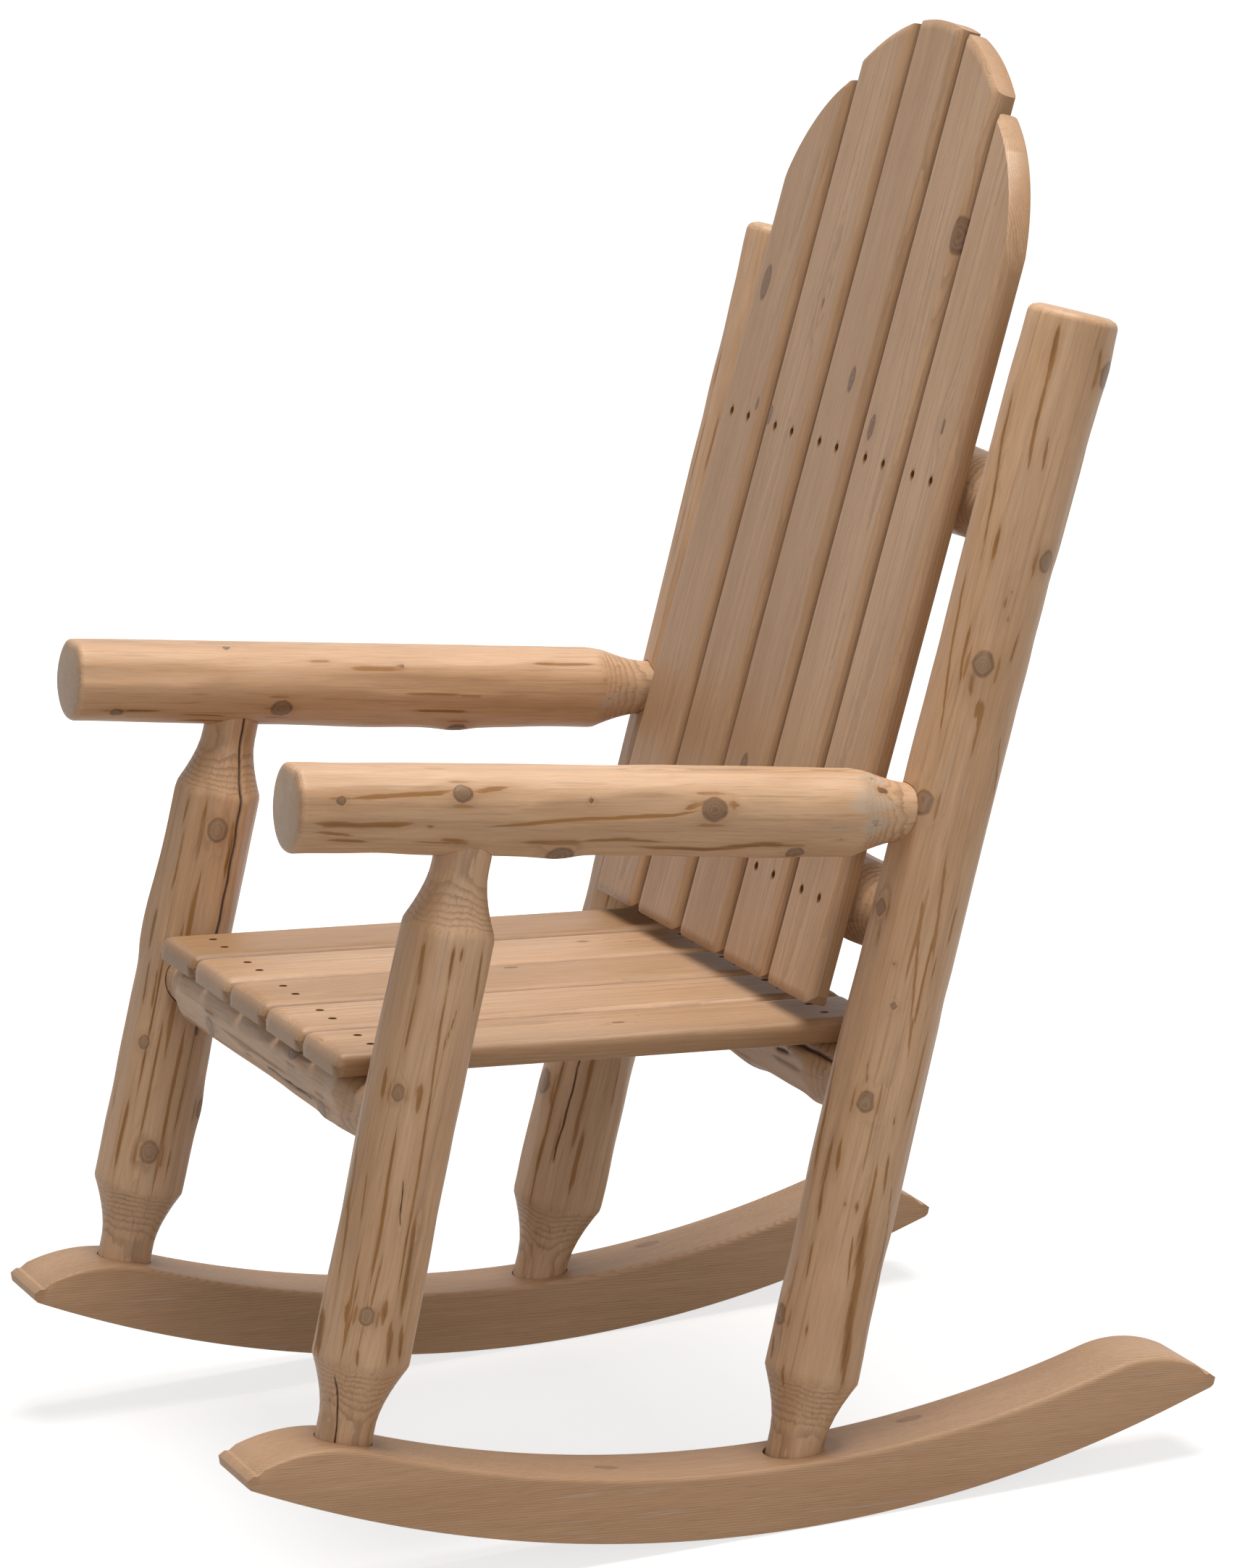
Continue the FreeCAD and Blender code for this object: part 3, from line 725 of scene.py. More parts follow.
# Drying checks: a line of (along, angle) points, with its half width
CHECKS = {
    "arm_left": [([(312, 75), (432, 80)], 0.8)],
    "front_post_right": [
        ([(526, 6), (511, 9), (468, 14), (440, 16), (410, 19), (366, 19), (296, 20), (236, 17)], 1.5),
    ],
    "front_post_left": [([(96, -54), (58, -42), (16, -34)], 1.0), ([(258, -14), (211, -4)], 0.45)],
    "back_post_left": [([(116, 70), (416, 92)], 1.2), ([(696, 100), (956, 96)], 1.2)],
    "back_post_right": [([(496, 60), (796, 75)], 1.2), ([(136, -40), (256, -36)], 0.8)],
    "rear_seat_rail": [([(470, -36), (500, -38), (585, -44)], 2.2), ([(440, -14), (480, -20)], 1.2)],
    "front_seat_rail": [([(330, 10), (450, 16)], 1.0)],
    "upper_back_rail": [([(200, 120), (420, 128)], 1.2)],
}

CHECK_DEPTH = 0.0022

# Natural bow of a log: share of its length, and swing to the rear of a post in mm
STRAIGHT = [(0.0, 0.0), (0.5, 0.0), (1.0, 0.0)]
BOWS = {
    "back_post_left": [(0.0, 2.5), (0.45, -5.5), (1.0, 2.5)],
}

# How many drawknife flats go round each kind of log, and how deep they cut
FLATS = {"front_post": (10, 1.9), "back_post": (9, 1.3), "arm": (8, 0.6), "rail": (9, 1.6)}


class Log:
    """One log's line, radii and features. Its own Z runs along it and its X is angle zero."""

    def __init__(self, name, kind, start, end, first_side, radii, tenons, end_round=0.0, planed=None):
        self.name = name
        self.kind = kind
        along = Vector(end) - Vector(start)
        self.length = along.length
        along.normalize()
        across = Vector(first_side)
        turned = Matrix((across, along.cross(across), along)).transposed().to_4x4()
        self.matrix = Matrix.Translation(Vector(start)) @ turned
        self.radii = radii
        self.tenons = tenons
        self.end_round = end_round
        self.planed = planed
        self.knots = KNOTS.get(name, [])
        self.bow = np.polyfit(*zip(*BOWS.get(name, STRAIGHT)), 2)

    def bowed(self, along):
        """How far the log's middle line swings to its second side, at places along it."""
        return np.polyval(self.bow, along / self.length) * MM

    def ends(self, along):
        """The length of the tenon at each end, or zero, and how far that end is."""
        return (self.tenons[0], along), (self.tenons[1], self.length - along)

    def taper(self, along):
        return self.radii[0] + (self.radii[1] - self.radii[0]) * along / self.length

    def distance(self, angle, along, place_along, place_angle, stretch):
        """Distance over the surface from a feature, with the long way shortened by a stretch."""
        turn = wrapped(angle - math.radians(place_angle))
        return np.hypot((along - place_along * MM) / stretch, turn * self.radii[0])

    def cutter(self, along):
        """Radius that the tenon cutter leaves, which opens out past each shoulder."""
        tenon = sizes().tenon_radius
        reach = sizes().shoulder_length + CUTTER_LEAD
        limit = np.full_like(along, FAR)
        for tenon_length, distance in self.ends(along):
            if tenon_length:
                past = np.clip(distance - tenon_length + CUTTER_LEAD, 0, None)
                opening = tenon + (self.radii[0] - tenon) * (past / reach) ** SHOULDER_POWER
                limit = np.minimum(limit, opening)
        return limit

    def swelling(self, angle, along):
        """How far the log swells over its knots and other full places."""
        swollen = np.zeros_like(along)
        for place_along, place_angle, size, height in self.knots + SWELLINGS.get(self.name, []):
            distance = self.distance(angle, along, place_along, place_angle, 1.6)
            swollen += height * MM * np.exp(-(distance / (size * MM * 1.25)) ** 2)
        return swollen

    def natural_radius(self, angle, along):
        """Radius of the log as it grew, under the bark."""
        radius = self.taper(along)
        for mark, height, longest in UNEVEN:
            radius = radius + height * unevenness(self.name + mark, angle, along, longest)
        return radius + KNOT_STANDS * self.swelling(angle, along)

    def flattened(self, radius, angle, along):
        """The log after the drawknife, with narrow flats that come and go along it."""
        count, deepest = FLATS[self.kind]
        draw = random.Random(self.name + "flats")
        for flat in range(count):
            facing = 2 * math.pi * (flat + draw.uniform(-0.32, 0.32)) / count
            cut = deepest * MM * draw.uniform(0.35, 1.0)
            wave = draw.uniform(0.5, 1.3) * self.length
            phase = draw.uniform(0, 2 * math.pi)
            facing = facing + 0.10 * np.sin(2 * math.pi * along / wave + phase * 2)
            level = self.taper(along) - cut * (1 + 0.6 * np.sin(2 * math.pi * along / wave + phase))
            radius = smooth_min(radius, flat_radius(angle, facing, level), FLAT_BLEND)
        if self.planed:
            facing, depth = self.planed
            plane = flat_radius(angle, math.radians(facing), self.radii[0] - depth)
            radius = smooth_min(radius, plane, PLANE_BLEND)
        return radius

    def check_field(self, angle, along):
        """Signed distance across the nearest drying check, in half widths, and how open it is."""
        side = np.zeros_like(along)
        open_here = np.zeros_like(along)
        for line, half_width in CHECKS.get(self.name, []):
            centre, low, high = followed(line, along)
            centre = centre + 0.012 * np.sin(along * 190) + 0.01 * np.sin(along * 73)
            across = wrapped(angle - centre) * self.radii[0] / (half_width * MM)
            opens = smoothstep(low - 0.002, low + 0.012, along)
            closes = smoothstep(high - 0.02, high + 0.002, along)
            strength = opens * (1 - closes) * np.exp(-(np.abs(across) / 5) ** 4)
            side = np.where(strength > open_here, across, side)
            open_here = np.maximum(open_here, strength)
        return side, open_here

    def streak_lines(self):
        """Streaks as listed, a pair beside each large knot, then thin ones at random places."""
        lines = list(STREAKS.get(self.name, []))
        for place_along, place_angle, size, _ in self.knots:
            if size > 5:
                for way in (-1, 1):
                    facing = place_angle + way * math.degrees(1.5 * size * MM / self.radii[0])
                    wing = [(place_along - 1.7 * size, facing), (place_along + 1.2 * size, facing)]
                    lines.append((3.0, 0.75, wing))
        draw = random.Random(self.name + "streaks")
        for _ in range(LOOSE_STREAKS[self.kind]):
            reach = draw.uniform(15, 85)
            first = draw.uniform(80, self.length / MM - 90 - reach)
            facing = draw.uniform(-180, 180)
            last = (first + reach, facing + draw.uniform(-3, 3))
            lines.append((draw.uniform(1.2, 2.8), draw.uniform(0.4, 0.85), [(first, facing), last]))
        return lines

    def streak_field(self, angle, along):
        """How far a place is inside the nearest streak, in half widths, and that streak's strength."""
        inside = np.full_like(along, -4.0)
        strong = np.zeros_like(along)
        for width, strength, line in self.streak_lines():
            centre, low, high = followed(line, along)
            across = np.abs(wrapped(angle - centre)) * self.radii[0] / (max(width, 2.4) * MM / 2)
            fade = 0.003 + 0.2 * (high - low)
            reach = np.clip(np.minimum(along - low, high - along) / fade + 0.3, -3, 1)
            here = reach - across
            strong = np.where(here > inside, strength, strong)
            inside = np.maximum(inside, here)
        return inside, strong

    def surface(self, angle, along):
        """Finished radius at each angle and distance along."""
        shaved = self.flattened(self.natural_radius(angle, along), angle, along)
        shaved = shaved + KNIFE_LEAVES * self.swelling(angle, along)
        radius = smooth_min(shaved, self.cutter(along), CUTTER_BLEND)
        side, open_here = self.check_field(angle, along)
        radius = radius - CHECK_DEPTH * open_here * np.exp(-(side / 1.3) ** 2)
        for tenon_length, distance in self.ends(along):
            if not tenon_length:
                radius = radius + fall(distance, self.end_round)
        return radius


def flat_radius(angle, facing, level):
    """Radius of a flat that faces one way at a level, and far out on the log's other sides."""
    towards = np.cos(angle - facing)
    return np.where(towards > 0.5, level / np.maximum(towards, 0.5), FAR)


def ring_places(log):
    """Distances along a log for its rings of points, close together at shoulders and rounded ends."""
    reach = sizes().shoulder_length
    places = [0.0]
    while places[-1] < log.length:
        step = LENGTH_STEP
        for tenon, distance in log.ends(places[-1]):
            if tenon and tenon + reach * 0.7 < distance < tenon + reach * 1.45:
                step = SHOULDER_STEP
            if not tenon and distance < log.end_round * 1.3:
                step = END_STEP
        places.append(places[-1] + step)
    scale = log.length / places[-1]
    return [place_along * scale for place_along in places]


def make_log(log):
    """A cylinder cut into many rings in edit mode, then shaved to the log's own surface."""
    places = ring_places(log)
    deselect_all()
    bpy.ops.mesh.primitive_cylinder_add(vertices=LOG_SEGMENTS, radius=1.0, depth=1.0,
                                        end_fill_type="TRIFAN")
    obj = new_piece(log.name + "_peeled")
    bpy.ops.object.mode_set(mode="EDIT")
    select_edges(obj, lambda a, b: abs(a.z - b.z) > 0.5)
    bpy.ops.mesh.subdivide(number_cuts=len(places) - 2)
    bpy.ops.object.mode_set(mode="OBJECT")
    points = points_of(obj)
    ring = np.rint((points[:, 2] + 0.5) * (len(places) - 1)).astype(int)
    along = np.array(places)[ring]
    angle = np.arctan2(points[:, 1], points[:, 0])
    radius = log.surface(angle, along)
    on_axis = np.hypot(points[:, 0], points[:, 1]) < 0.01
    radius[on_axis] = 0.0
    x = radius * np.cos(angle)
    y = radius * np.sin(angle) + log.bowed(along)
    set_points(obj, np.stack([x, y, along], axis=1))
    return obj


def dress_log(obj, log):
    """Grain, rings, knots, bark, checks and sawn ends of a log that is still at its own origin."""
    points = points_of(obj)
    points[:, 1] -= log.bowed(points[:, 2])
    angle = np.arctan2(points[:, 1], points[:, 0])
    along = points[:, 2]
    depth = log.natural_radius(angle, along) - np.hypot(points[:, 0], points[:, 1])
    shift = random_shift(random.Random(log.name + "grain"))
    knot = np.full_like(along, NO_KNOT)
    dark = np.zeros_like(along)
    push = np.zeros_like(along)
    for place_along, place_angle, size, _ in log.knots:
        distance = log.distance(angle, along, place_along, place_angle, 1.12) / (size * MM)
        dark = np.where(distance < knot, KNOT_DARKNESS[log.kind], dark)
        knot = np.minimum(knot, distance)
        push += KNOT_PUSH * np.exp(-(distance / 2.2) ** 2)
    worn = np.zeros_like(along)
    for place_along, place_angle, size in WORN.get(log.name, []):
        distance = log.distance(angle, along, place_along, place_angle, 1.3) / (size * MM)
        worn = np.maximum(worn, 1 - distance)
    inside, strong = log.streak_field(angle, along)
    strong = strong * smoothstep(0.009, 0.005, np.clip(depth, 0, 1))
    side, open_here = log.check_field(angle, along)
    sawn_end = np.zeros_like(along)
    for tenon_length, distance in log.ends(along):
        if not tenon_length:
            sawn_end = np.maximum(sawn_end, distance < AT_END)
    dress(obj, points + shift, depth + push, (knot, dark, 0.0), (inside, strong, worn),
          (side, open_here, 0.0), sawn_end)


def finish_log(log, holes=()):
    obj = make_log(log)
    if holes:
        drill(obj, holes, log.matrix)
    dress_log(obj, log)
    place(obj, log.matrix)
    smooth(obj, 50)
    finish_piece(obj, material_named("peeled_cedar"), [log.name])


def side_name(kind, side):
    return kind + ("_left" if side > 0 else "_right")


def side_log(kind, side):
    """A post or arm on one side of the chair."""
    line = LOG_LINES[kind]
    x = side * sizes().side_offset
    return Log(side_name(kind, side), kind, (x, *line["start"]), (x, *line["end"]), (1, 0, 0),
               line["radii"], line["tenons"], line.get("end_round", 0.0), line.get("planed"))


def rail_log(name):
    line = RAIL_LINES[name]
    centre = line["centre"]
    return Log(name, "rail", (-RAIL_HALF, *centre), (RAIL_HALF, *centre), (0, -1, 0),
               (line["radius"], line["radius"]), (RAIL_TENON, RAIL_TENON), 0.0, line["planed"])


def drill(obj, holes, matrix):
    """Cut bores into a piece that is still at its own origin.

    A hole is a start, a direction, a length and a radius.
    """
    back = matrix.inverted()
    deselect_all()
    bits = []
    for start, direction, length, radius in holes:
        bpy.ops.mesh.primitive_cylinder_add(vertices=64, radius=radius, depth=length)
        bit = bpy.context.object
        middle = Vector(start) + Vector(direction).normalized() * (length / 2)
        turn = Vector(direction).to_track_quat("Z", "Y").to_matrix().to_4x4()
        bit.matrix_world = back @ Matrix.Translation(middle) @ turn
        bits.append(bit)
    cut_away(obj, bits)


def tenon_hole(log, at_end):
    """The bore that takes one tenon of a log, just past the tenon's end."""
    radius = sizes().tenon_radius + sizes().bore_gap
    along = log.matrix.to_3x3() @ Vector((0, 0, 1))
    if at_end:
        tip = log.matrix @ Vector((0, 0, log.length + BORE_PAST))
        return tip - along * BORE_LENGTH, along, BORE_LENGTH, radius
    tip = log.matrix @ Vector((0, 0, -BORE_PAST))
    return tip, along, BORE_LENGTH, radius


# Boards
# A board is made along +Y from the origin, with its show face at Z = 0.

SLAT_COUNT = 5
MIDDLE_SLAT = 3

# How much darker each slat is, from the sitter's right to the left, and the painted shade over the sides
# of a slat, which darkens the gaps between slats
SEAT_TONES = (0.65, 0.0, 0.30, 0.08, 0.18)
BACK_TONES = (0.26, 0.20, 0.28, 0.12, 0.0)
SIDE_SHADE = 0.55

# Knots of each slat in the same order: across, along and half width in mm
SEAT_KNOTS = ([(8, 225, 6)], [(-12, 330, 2.4)], [(-28, 238, 3)], [(20, 120, 2.5)], [(2, 250, 2.6)])
BACK_KNOTS = (
    [(-18, 538, 7), (31, 439, 3)],
    [(-49, 517, 4), (13, 535, 2.5), (-35, 433, 4)],
    [(13, 483, 5), (48, 636, 3), (2, 148, 7)],
    [(41, 619, 7), (42, 757, 6), (-22, 451, 5)],
    [(15, 470, 3)],
)


class SlatRow:
    """The slats of the seat or of the back, which lie side by side.

    The start is the (y, z) of their first ends and the turn is about X, in degrees. Screws
    are half_spacing to each side of a slat's middle, in lines across the slats.
    """

    def __init__(self, kind, start, turn, pitch, length, steps, half_spacing, lines, knots, tones):
        self.kind = kind
        self.start = start
        self.turn = turn
        self.pitch = pitch
        self.length = length
        self.steps = steps
        self.half_spacing = half_spacing
        self.lines = lines
        self.knots = knots
        self.tones = tones

    def middle(self, index):
        return (index - MIDDLE_SLAT) * self.pitch

    def matrix(self, index):
        """A slat's own Y runs along it and its Z points to the sitter."""
        turn = Matrix.Rotation(math.radians(self.turn), 4, "X")
        return Matrix.Translation((self.middle(index), *self.start)) @ turn


SEAT = SlatRow("seat_slat", (-0.2811, 0.4165), -4.666, 0.095, 0.464, 130,
               0.016, (0.03752, 0.42064), SEAT_KNOTS, SEAT_TONES)
BACK = SlatRow("back_slat", (0.1082, 0.4012), 90 - 19.666, 0.0983, 0.785, 200,
               0.0185, (0.082, 0.426), BACK_KNOTS, BACK_TONES)

# Each group of screws with its row of slats and its line in that row
SCREW_GROUPS = {
    "front_seat_rail_screws": (SEAT, 0),
    "rear_seat_rail_screws": (SEAT, 1),
    "lower_back_rail_screws": (BACK, 0),
    "upper_back_rail_screws": (BACK, 1),
}
SCREW_RECESS = 0.004
SCREW_HEAD_RADIUS = 0.0031
SCREW_HEAD_DEPTH = 0.003
HOLE_RADIUS = SCREW_HEAD_RADIUS + 0.0003

# Arched top of the back: radius of the middle slats' arc, the place along a slat from which
# its points move with the top, and the two heights and the radius of the outer slats
CROWN_RADIUS = 0.234
CROWN_FROM = 0.5
SIDE_INNER = 0.722
SIDE_OUTER = 0.604
SIDE_RADIUS = 0.163

# Rounded corners at the first ends of slats, in plan, and how far up they draw points in
SEAT_CORNER = 0.006
SEAT_CORNER_REACH = 0.03
BACK_CORNER = 0.008
BACK_CORNER_REACH = 0.04
BACK_END_ROUND = 0.0025


def make_board(name, width, length, thickness, rounding, steps_along, steps_across):
    """A cube shaped to a board: rounded long edges, then many strips along and across."""
    deselect_all()
    bpy.ops.mesh.primitive_cube_add(size=1.0, location=(0, length / 2, -thickness / 2))
    obj = new_piece(name)
    obj.scale = (width, length, thickness)
    bpy.ops.object.transform_apply(location=True, rotation=True, scale=True)
    bpy.ops.object.mode_set(mode="EDIT")
    select_edges(obj, lambda a, b: abs(a.y - b.y) > length / 2 and a.z > -thickness / 2)
    bpy.ops.mesh.bevel(offset=rounding, segments=5, profile=0.5, affect="EDGES")
    select_edges(obj, lambda a, b: abs(a.y - b.y) > length / 2 and a.z < -thickness * 0.9)
    bpy.ops.mesh.bevel(offset=rounding * 0.25, segments=2, profile=0.5, affect="EDGES")
    select_edges(obj, lambda a, b: abs(a.x - b.x) > width / 2)
    bpy.ops.mesh.subdivide(number_cuts=steps_across)
    select_edges(obj, lambda a, b: abs(a.y - b.y) > length / 2)
    bpy.ops.mesh.subdivide(number_cuts=steps_along)
    bpy.ops.object.mode_set(mode="OBJECT")
    return obj


def round_ends(points, length, rounding):
    """Round the show face over both ends of a board."""
    for distance in (points[:, 1], length - points[:, 1]):
        points[:, 2] = np.minimum(points[:, 2], fall(distance, rounding))


def foot_corners(points, corner, reach):
    """How far the points near a slat's first end move towards it, as rounded corners take away."""
    from_edge = sizes().slat_width / 2 - np.abs(points[:, 0])
    return fall(from_edge, corner) * np.clip(1 - points[:, 1] / reach, 0, 1)


def dress_slat(obj, seed, length, knots, holes, darker):
    """Grain, rings and knots of a slat. The line of the pith runs below or beside it.

    The pith's place and the slat's other draws each start afresh from the seed.
    """
    draw = random.Random(seed)
    pith_x = draw.uniform(-0.03, 0.03)
    pith_z = -draw.uniform(0.03, 0.07)
    draw = random.Random(seed)
    shift = random_shift(draw)
    points = points_of(obj)
    x, y, z = points.T
    grain = np.stack([x, z, y], axis=1)
    pith_x = pith_x + draw.uniform(-0.02, 0.02) * y
    pith_z = pith_z + draw.uniform(-0.015, 0.015) * y
    depth = np.hypot(x - pith_x, z - pith_z)
    on_face = np.where(z > -0.016, 0.0, 5.0)
    knot = np.full(len(points), NO_KNOT)
    bark = np.zeros(len(points))
    for knot_x, knot_y, size in knots:
        across = (x - knot_x * MM) / (size * MM)
        along = (y - knot_y * MM) / (size * MM * 2.0)
        knot = np.minimum(knot, np.hypot(across, along) + on_face)
        depth += 0.004 * np.exp(-(across ** 2 + (along / 2) ** 2) / 6)
        bark = np.maximum(bark, 0.5 * np.exp(-(across ** 2 + (along / 3) ** 2)) - on_face)
    # Painted shade: the wood inside each screw recess gets the full dark bark marks, as the shade in the
    # recess
    for hole_x, hole_y in holes:
        distance = np.hypot(x - hole_x, y - hole_y)
        bark = np.maximum(bark, (distance < HOLE_RADIUS * 1.03) * 1.0)
    tips = np.minimum(y, length - y) < AT_END
    # Painted shade: the slat's own darkening, then painted shade over its rounded edges and sides, which
    # darkens the gaps between slats
    darker_and_side_shade = darker + SIDE_SHADE * smoothstep(0.001, 0.0065, -z)
    dress(obj, grain + shift, depth, (knot, 1.0, 0.0), (bark * 3 - 2, np.clip(bark, 0, 1), -1.0),
          (0.0, 0.0, darker_and_side_shade), tips * 0.4)


def extrude(distance, share=1.0, centre=(0, 0, 0)):
    """Push the chosen faces along Z in edit mode, and scale their far end about a centre."""
    bpy.ops.mesh.extrude_region_move(TRANSFORM_OT_translate={"value": (0, 0, distance)})
    if share != 1.0:
        bpy.ops.transform.resize(value=(share, share, 1.0), center_override=centre)


def screw_holes(obj, places):
    """Countersunk recesses in a board: a wide mouth, a cone and a clear way for the shank."""
    bits = []
    for x, y in places:
        deselect_all()
        bpy.ops.mesh.primitive_cylinder_add(vertices=24, radius=HOLE_RADIUS, depth=0.006,
                                            location=(x, y, -SCREW_RECESS + 0.003))
        bit = bpy.context.object
        bpy.ops.object.mode_set(mode="EDIT")
        select_faces(bit, lambda face: face.normal.z < -0.9)
        extrude(-SCREW_HEAD_DEPTH, 0.58, (x, y, 0))
        extrude(-0.02)
        bpy.ops.object.mode_set(mode="OBJECT")
        bpy.ops.object.transform_apply(location=True, rotation=True, scale=True)
        bits.append(bit)
    cut_away(obj, bits)


def slat_board(row, index):
    """A slat's board and its points, which crowd towards both ends."""
    size = sizes()
    obj = make_board("%s_%d_board" % (row.kind, index), size.slat_width, row.length,
                     size.slat_thickness, size.slat_edge_round, row.steps, 23)
    points = points_of(obj)
    points[:, 1] = row.length * crowded(points[:, 1], row.length, 0.45)
    return obj, points


def finish_slat(obj, points, row, index):
    name = "%s_%d" % (row.kind, index)
    set_points(obj, points)
    holes = [(side * row.half_spacing, line) for side in (-1, 1) for line in row.lines]
    screw_holes(obj, holes)
    dress_slat(obj, name, row.length, row.knots[index - 1], holes, row.tones[index - 1])
    place(obj, row.matrix(index))
    smooth(obj, 40)
    finish_piece(obj, material_named("slat_cedar"), [name])


def make_seat_slat(index):
    obj, points = slat_board(SEAT, index)
    round_ends(points, SEAT.length, sizes().slat_edge_round * 1.1)
    points[:, 1] -= foot_corners(points, SEAT_CORNER, SEAT_CORNER_REACH)
    finish_slat(obj, points, SEAT, index)


def crown(x, index):
    """Height of the sawn top over the foot of a back slat, at a place across the back."""
    if index in (1, SLAT_COUNT):
        inner_x = 2 * BACK.pitch - sizes().slat_width / 2
        low = np.array([inner_x, SIDE_INNER])
        high = np.array([inner_x + sizes().slat_width, SIDE_OUTER])
        chord = high - low
        reach = math.sqrt(SIDE_RADIUS ** 2 - (np.hypot(*chord) / 2) ** 2)
        inward = np.array([chord[1], -chord[0]]) / np.hypot(*chord)
        centre = (low + high) / 2 + inward * reach
        return centre[1] + np.sqrt(SIDE_RADIUS ** 2 - (np.abs(x) - centre[0]) ** 2)
    return BACK.length - CROWN_RADIUS + np.sqrt(CROWN_RADIUS ** 2 - x ** 2)


def make_back_slat(index):
    obj, points = slat_board(BACK, index)
    half = sizes().slat_width / 2
    x = np.clip(points[:, 0], -half, half)
    round_ends(points, BACK.length, BACK_END_ROUND)
    above = np.clip((points[:, 1] - CROWN_FROM) / (BACK.length - CROWN_FROM), 0, 1)
    drop = crown(BACK.middle(index) + x, index) - BACK.length
    points[:, 1] += above * drop - foot_corners(points, BACK_CORNER, BACK_CORNER_REACH)
    finish_slat(obj, points, BACK, index)


# Rockers
# Angles are polar angles about the arc centre, in degrees from straight down to the rear.

ARC_CENTRE = (0.0637, 1.057)
NOSE_ANGLE = -26.306
TAIL_ANGLE = 18.774
TIP_RADIUS = 0.007
NOSE_CROWN = 0.130
TAIL_CROWN = 0.093
ROCKER_EDGE = 0.005

# Grain of a rocker's plank: its slope in degrees, and where the pith runs beside and below it
GRAIN_TILT = -3.5
PITH_ASIDE = 0.09
PITH_BELOW = -0.10

# Knots on the top of a rocker: place along the chair, place across and half width in mm
ROCKER_KNOTS = ((-105, 4, 4.5), (160, -12, 5.0))


def rocker_section(angle):
    """Inner and outer radius of the rocker outline, seen from the arc centre, at polar angles."""
    outer_arc = sizes().rocker_radius
    top_arc = outer_arc - sizes().rocker_depth
    inner = np.full_like(angle, top_arc)
    outer = np.full_like(angle, outer_arc)
    tip_ring = outer_arc - TIP_RADIUS
    overlap = math.pi / 4 * TIP_RADIUS / tip_ring * 0.2
    for tip_angle, crown_radius, way in ((NOSE_ANGLE, NOSE_CROWN, -1), (TAIL_ANGLE, TAIL_CROWN, 1)):
        tip = math.radians(tip_angle)
        crown_ring = top_arc + crown_radius
        gap = crown_radius - TIP_RADIUS
        cosine = (crown_ring ** 2 + tip_ring ** 2 - gap ** 2) / (2 * crown_ring * tip_ring)
        off = angle - (tip - way * math.acos(cosine))
        under = np.clip(crown_radius ** 2 - (crown_ring * np.sin(off)) ** 2, 0, None)
        inner = np.where(off * way > 0, crown_ring * np.cos(off) - np.sqrt(under), inner)
        off = angle - tip
        under = np.clip(TIP_RADIUS ** 2 - (tip_ring * np.sin(off)) ** 2, 0, None)
        outer = np.where(off * way > 0, tip_ring * np.cos(off) + np.sqrt(under), outer)
        tip_inner = np.maximum(inner, tip_ring * np.cos(off) - np.sqrt(under))
        inner = np.where(off * way > -overlap, np.minimum(tip_inner, outer), inner)
    return inner, outer


def make_rocker(side):
    """A board bent to the rocker's two arcs, with the bores of its two posts."""
    size = sizes()
    name = side_name("rocker", side)
    tip_turn = TIP_RADIUS / (size.rocker_radius - TIP_RADIUS)
    first = math.radians(NOSE_ANGLE) - tip_turn
    last = math.radians(TAIL_ANGLE) + tip_turn
    length = (last - first) * size.rocker_radius
    depth = size.rocker_depth
    obj = make_board(name + "_plank", size.rocker_thickness, length, depth, ROCKER_EDGE, 260, 15)
    points = points_of(obj)
    edge = size.rocker_thickness / 2 + fall(points[:, 2] + depth, ROCKER_EDGE)
    across = np.sign(points[:, 0]) * np.minimum(np.abs(points[:, 0]), edge)
    angle = first + (last - first) * crowded(points[:, 1], length, 0.65)
    inner, outer = rocker_section(angle)
    share = -points[:, 2] / depth
    radius = inner + (outer - inner) * share
    x = across + side * size.side_offset
    y = ARC_CENTRE[0] + radius * np.sin(angle)
    z = ARC_CENTRE[1] - radius * np.cos(angle)
    set_points(obj, np.stack([x, y, z], axis=1))
    posts = [side_log(kind, side) for kind in ("front_post", "back_post")]
    drill(obj, [tenon_hole(post, False) for post in posts], Matrix.Identity(4))
    dress_rocker(obj, name, side)
    smooth(obj, 40)
    finish_piece(obj, material_named("rocker_cedar"), [name])


def dress_rocker(obj, seed, side):
    """A rocker is sawn from a wide straight plank, so its grain runs level and meets the curve."""
    size = sizes()
    points = points_of(obj)
    x = points[:, 0] - side * size.side_offset
    tilt = math.radians(GRAIN_TILT)
    y = points[:, 1] * math.cos(tilt) + points[:, 2] * math.sin(tilt)
    z = -points[:, 1] * math.sin(tilt) + points[:, 2] * math.cos(tilt)
    grain = np.stack([x, z, y], axis=1) + random_shift(random.Random(seed))
    rings = np.hypot(x - side * PITH_ASIDE, z - PITH_BELOW + 0.03 * y)
    radius = np.hypot(points[:, 1] - ARC_CENTRE[0], points[:, 2] - ARC_CENTRE[1])
    on_top = radius < size.rocker_radius - size.rocker_depth + 0.004
    knot = np.full(len(points), NO_KNOT)
    for place_y, place_x, half_width in ROCKER_KNOTS:
        off = np.hypot((points[:, 1] - place_y * MM) / 2.0, x - place_x * MM) / (half_width * MM)
        knot = np.minimum(knot, np.where(on_top, off, NO_KNOT))
    nothing = (0.0, 0.0, 0.0)
    dress(obj, grain, rings, (knot, 0.5, 0.0), nothing, nothing, 0.0)


# Screws

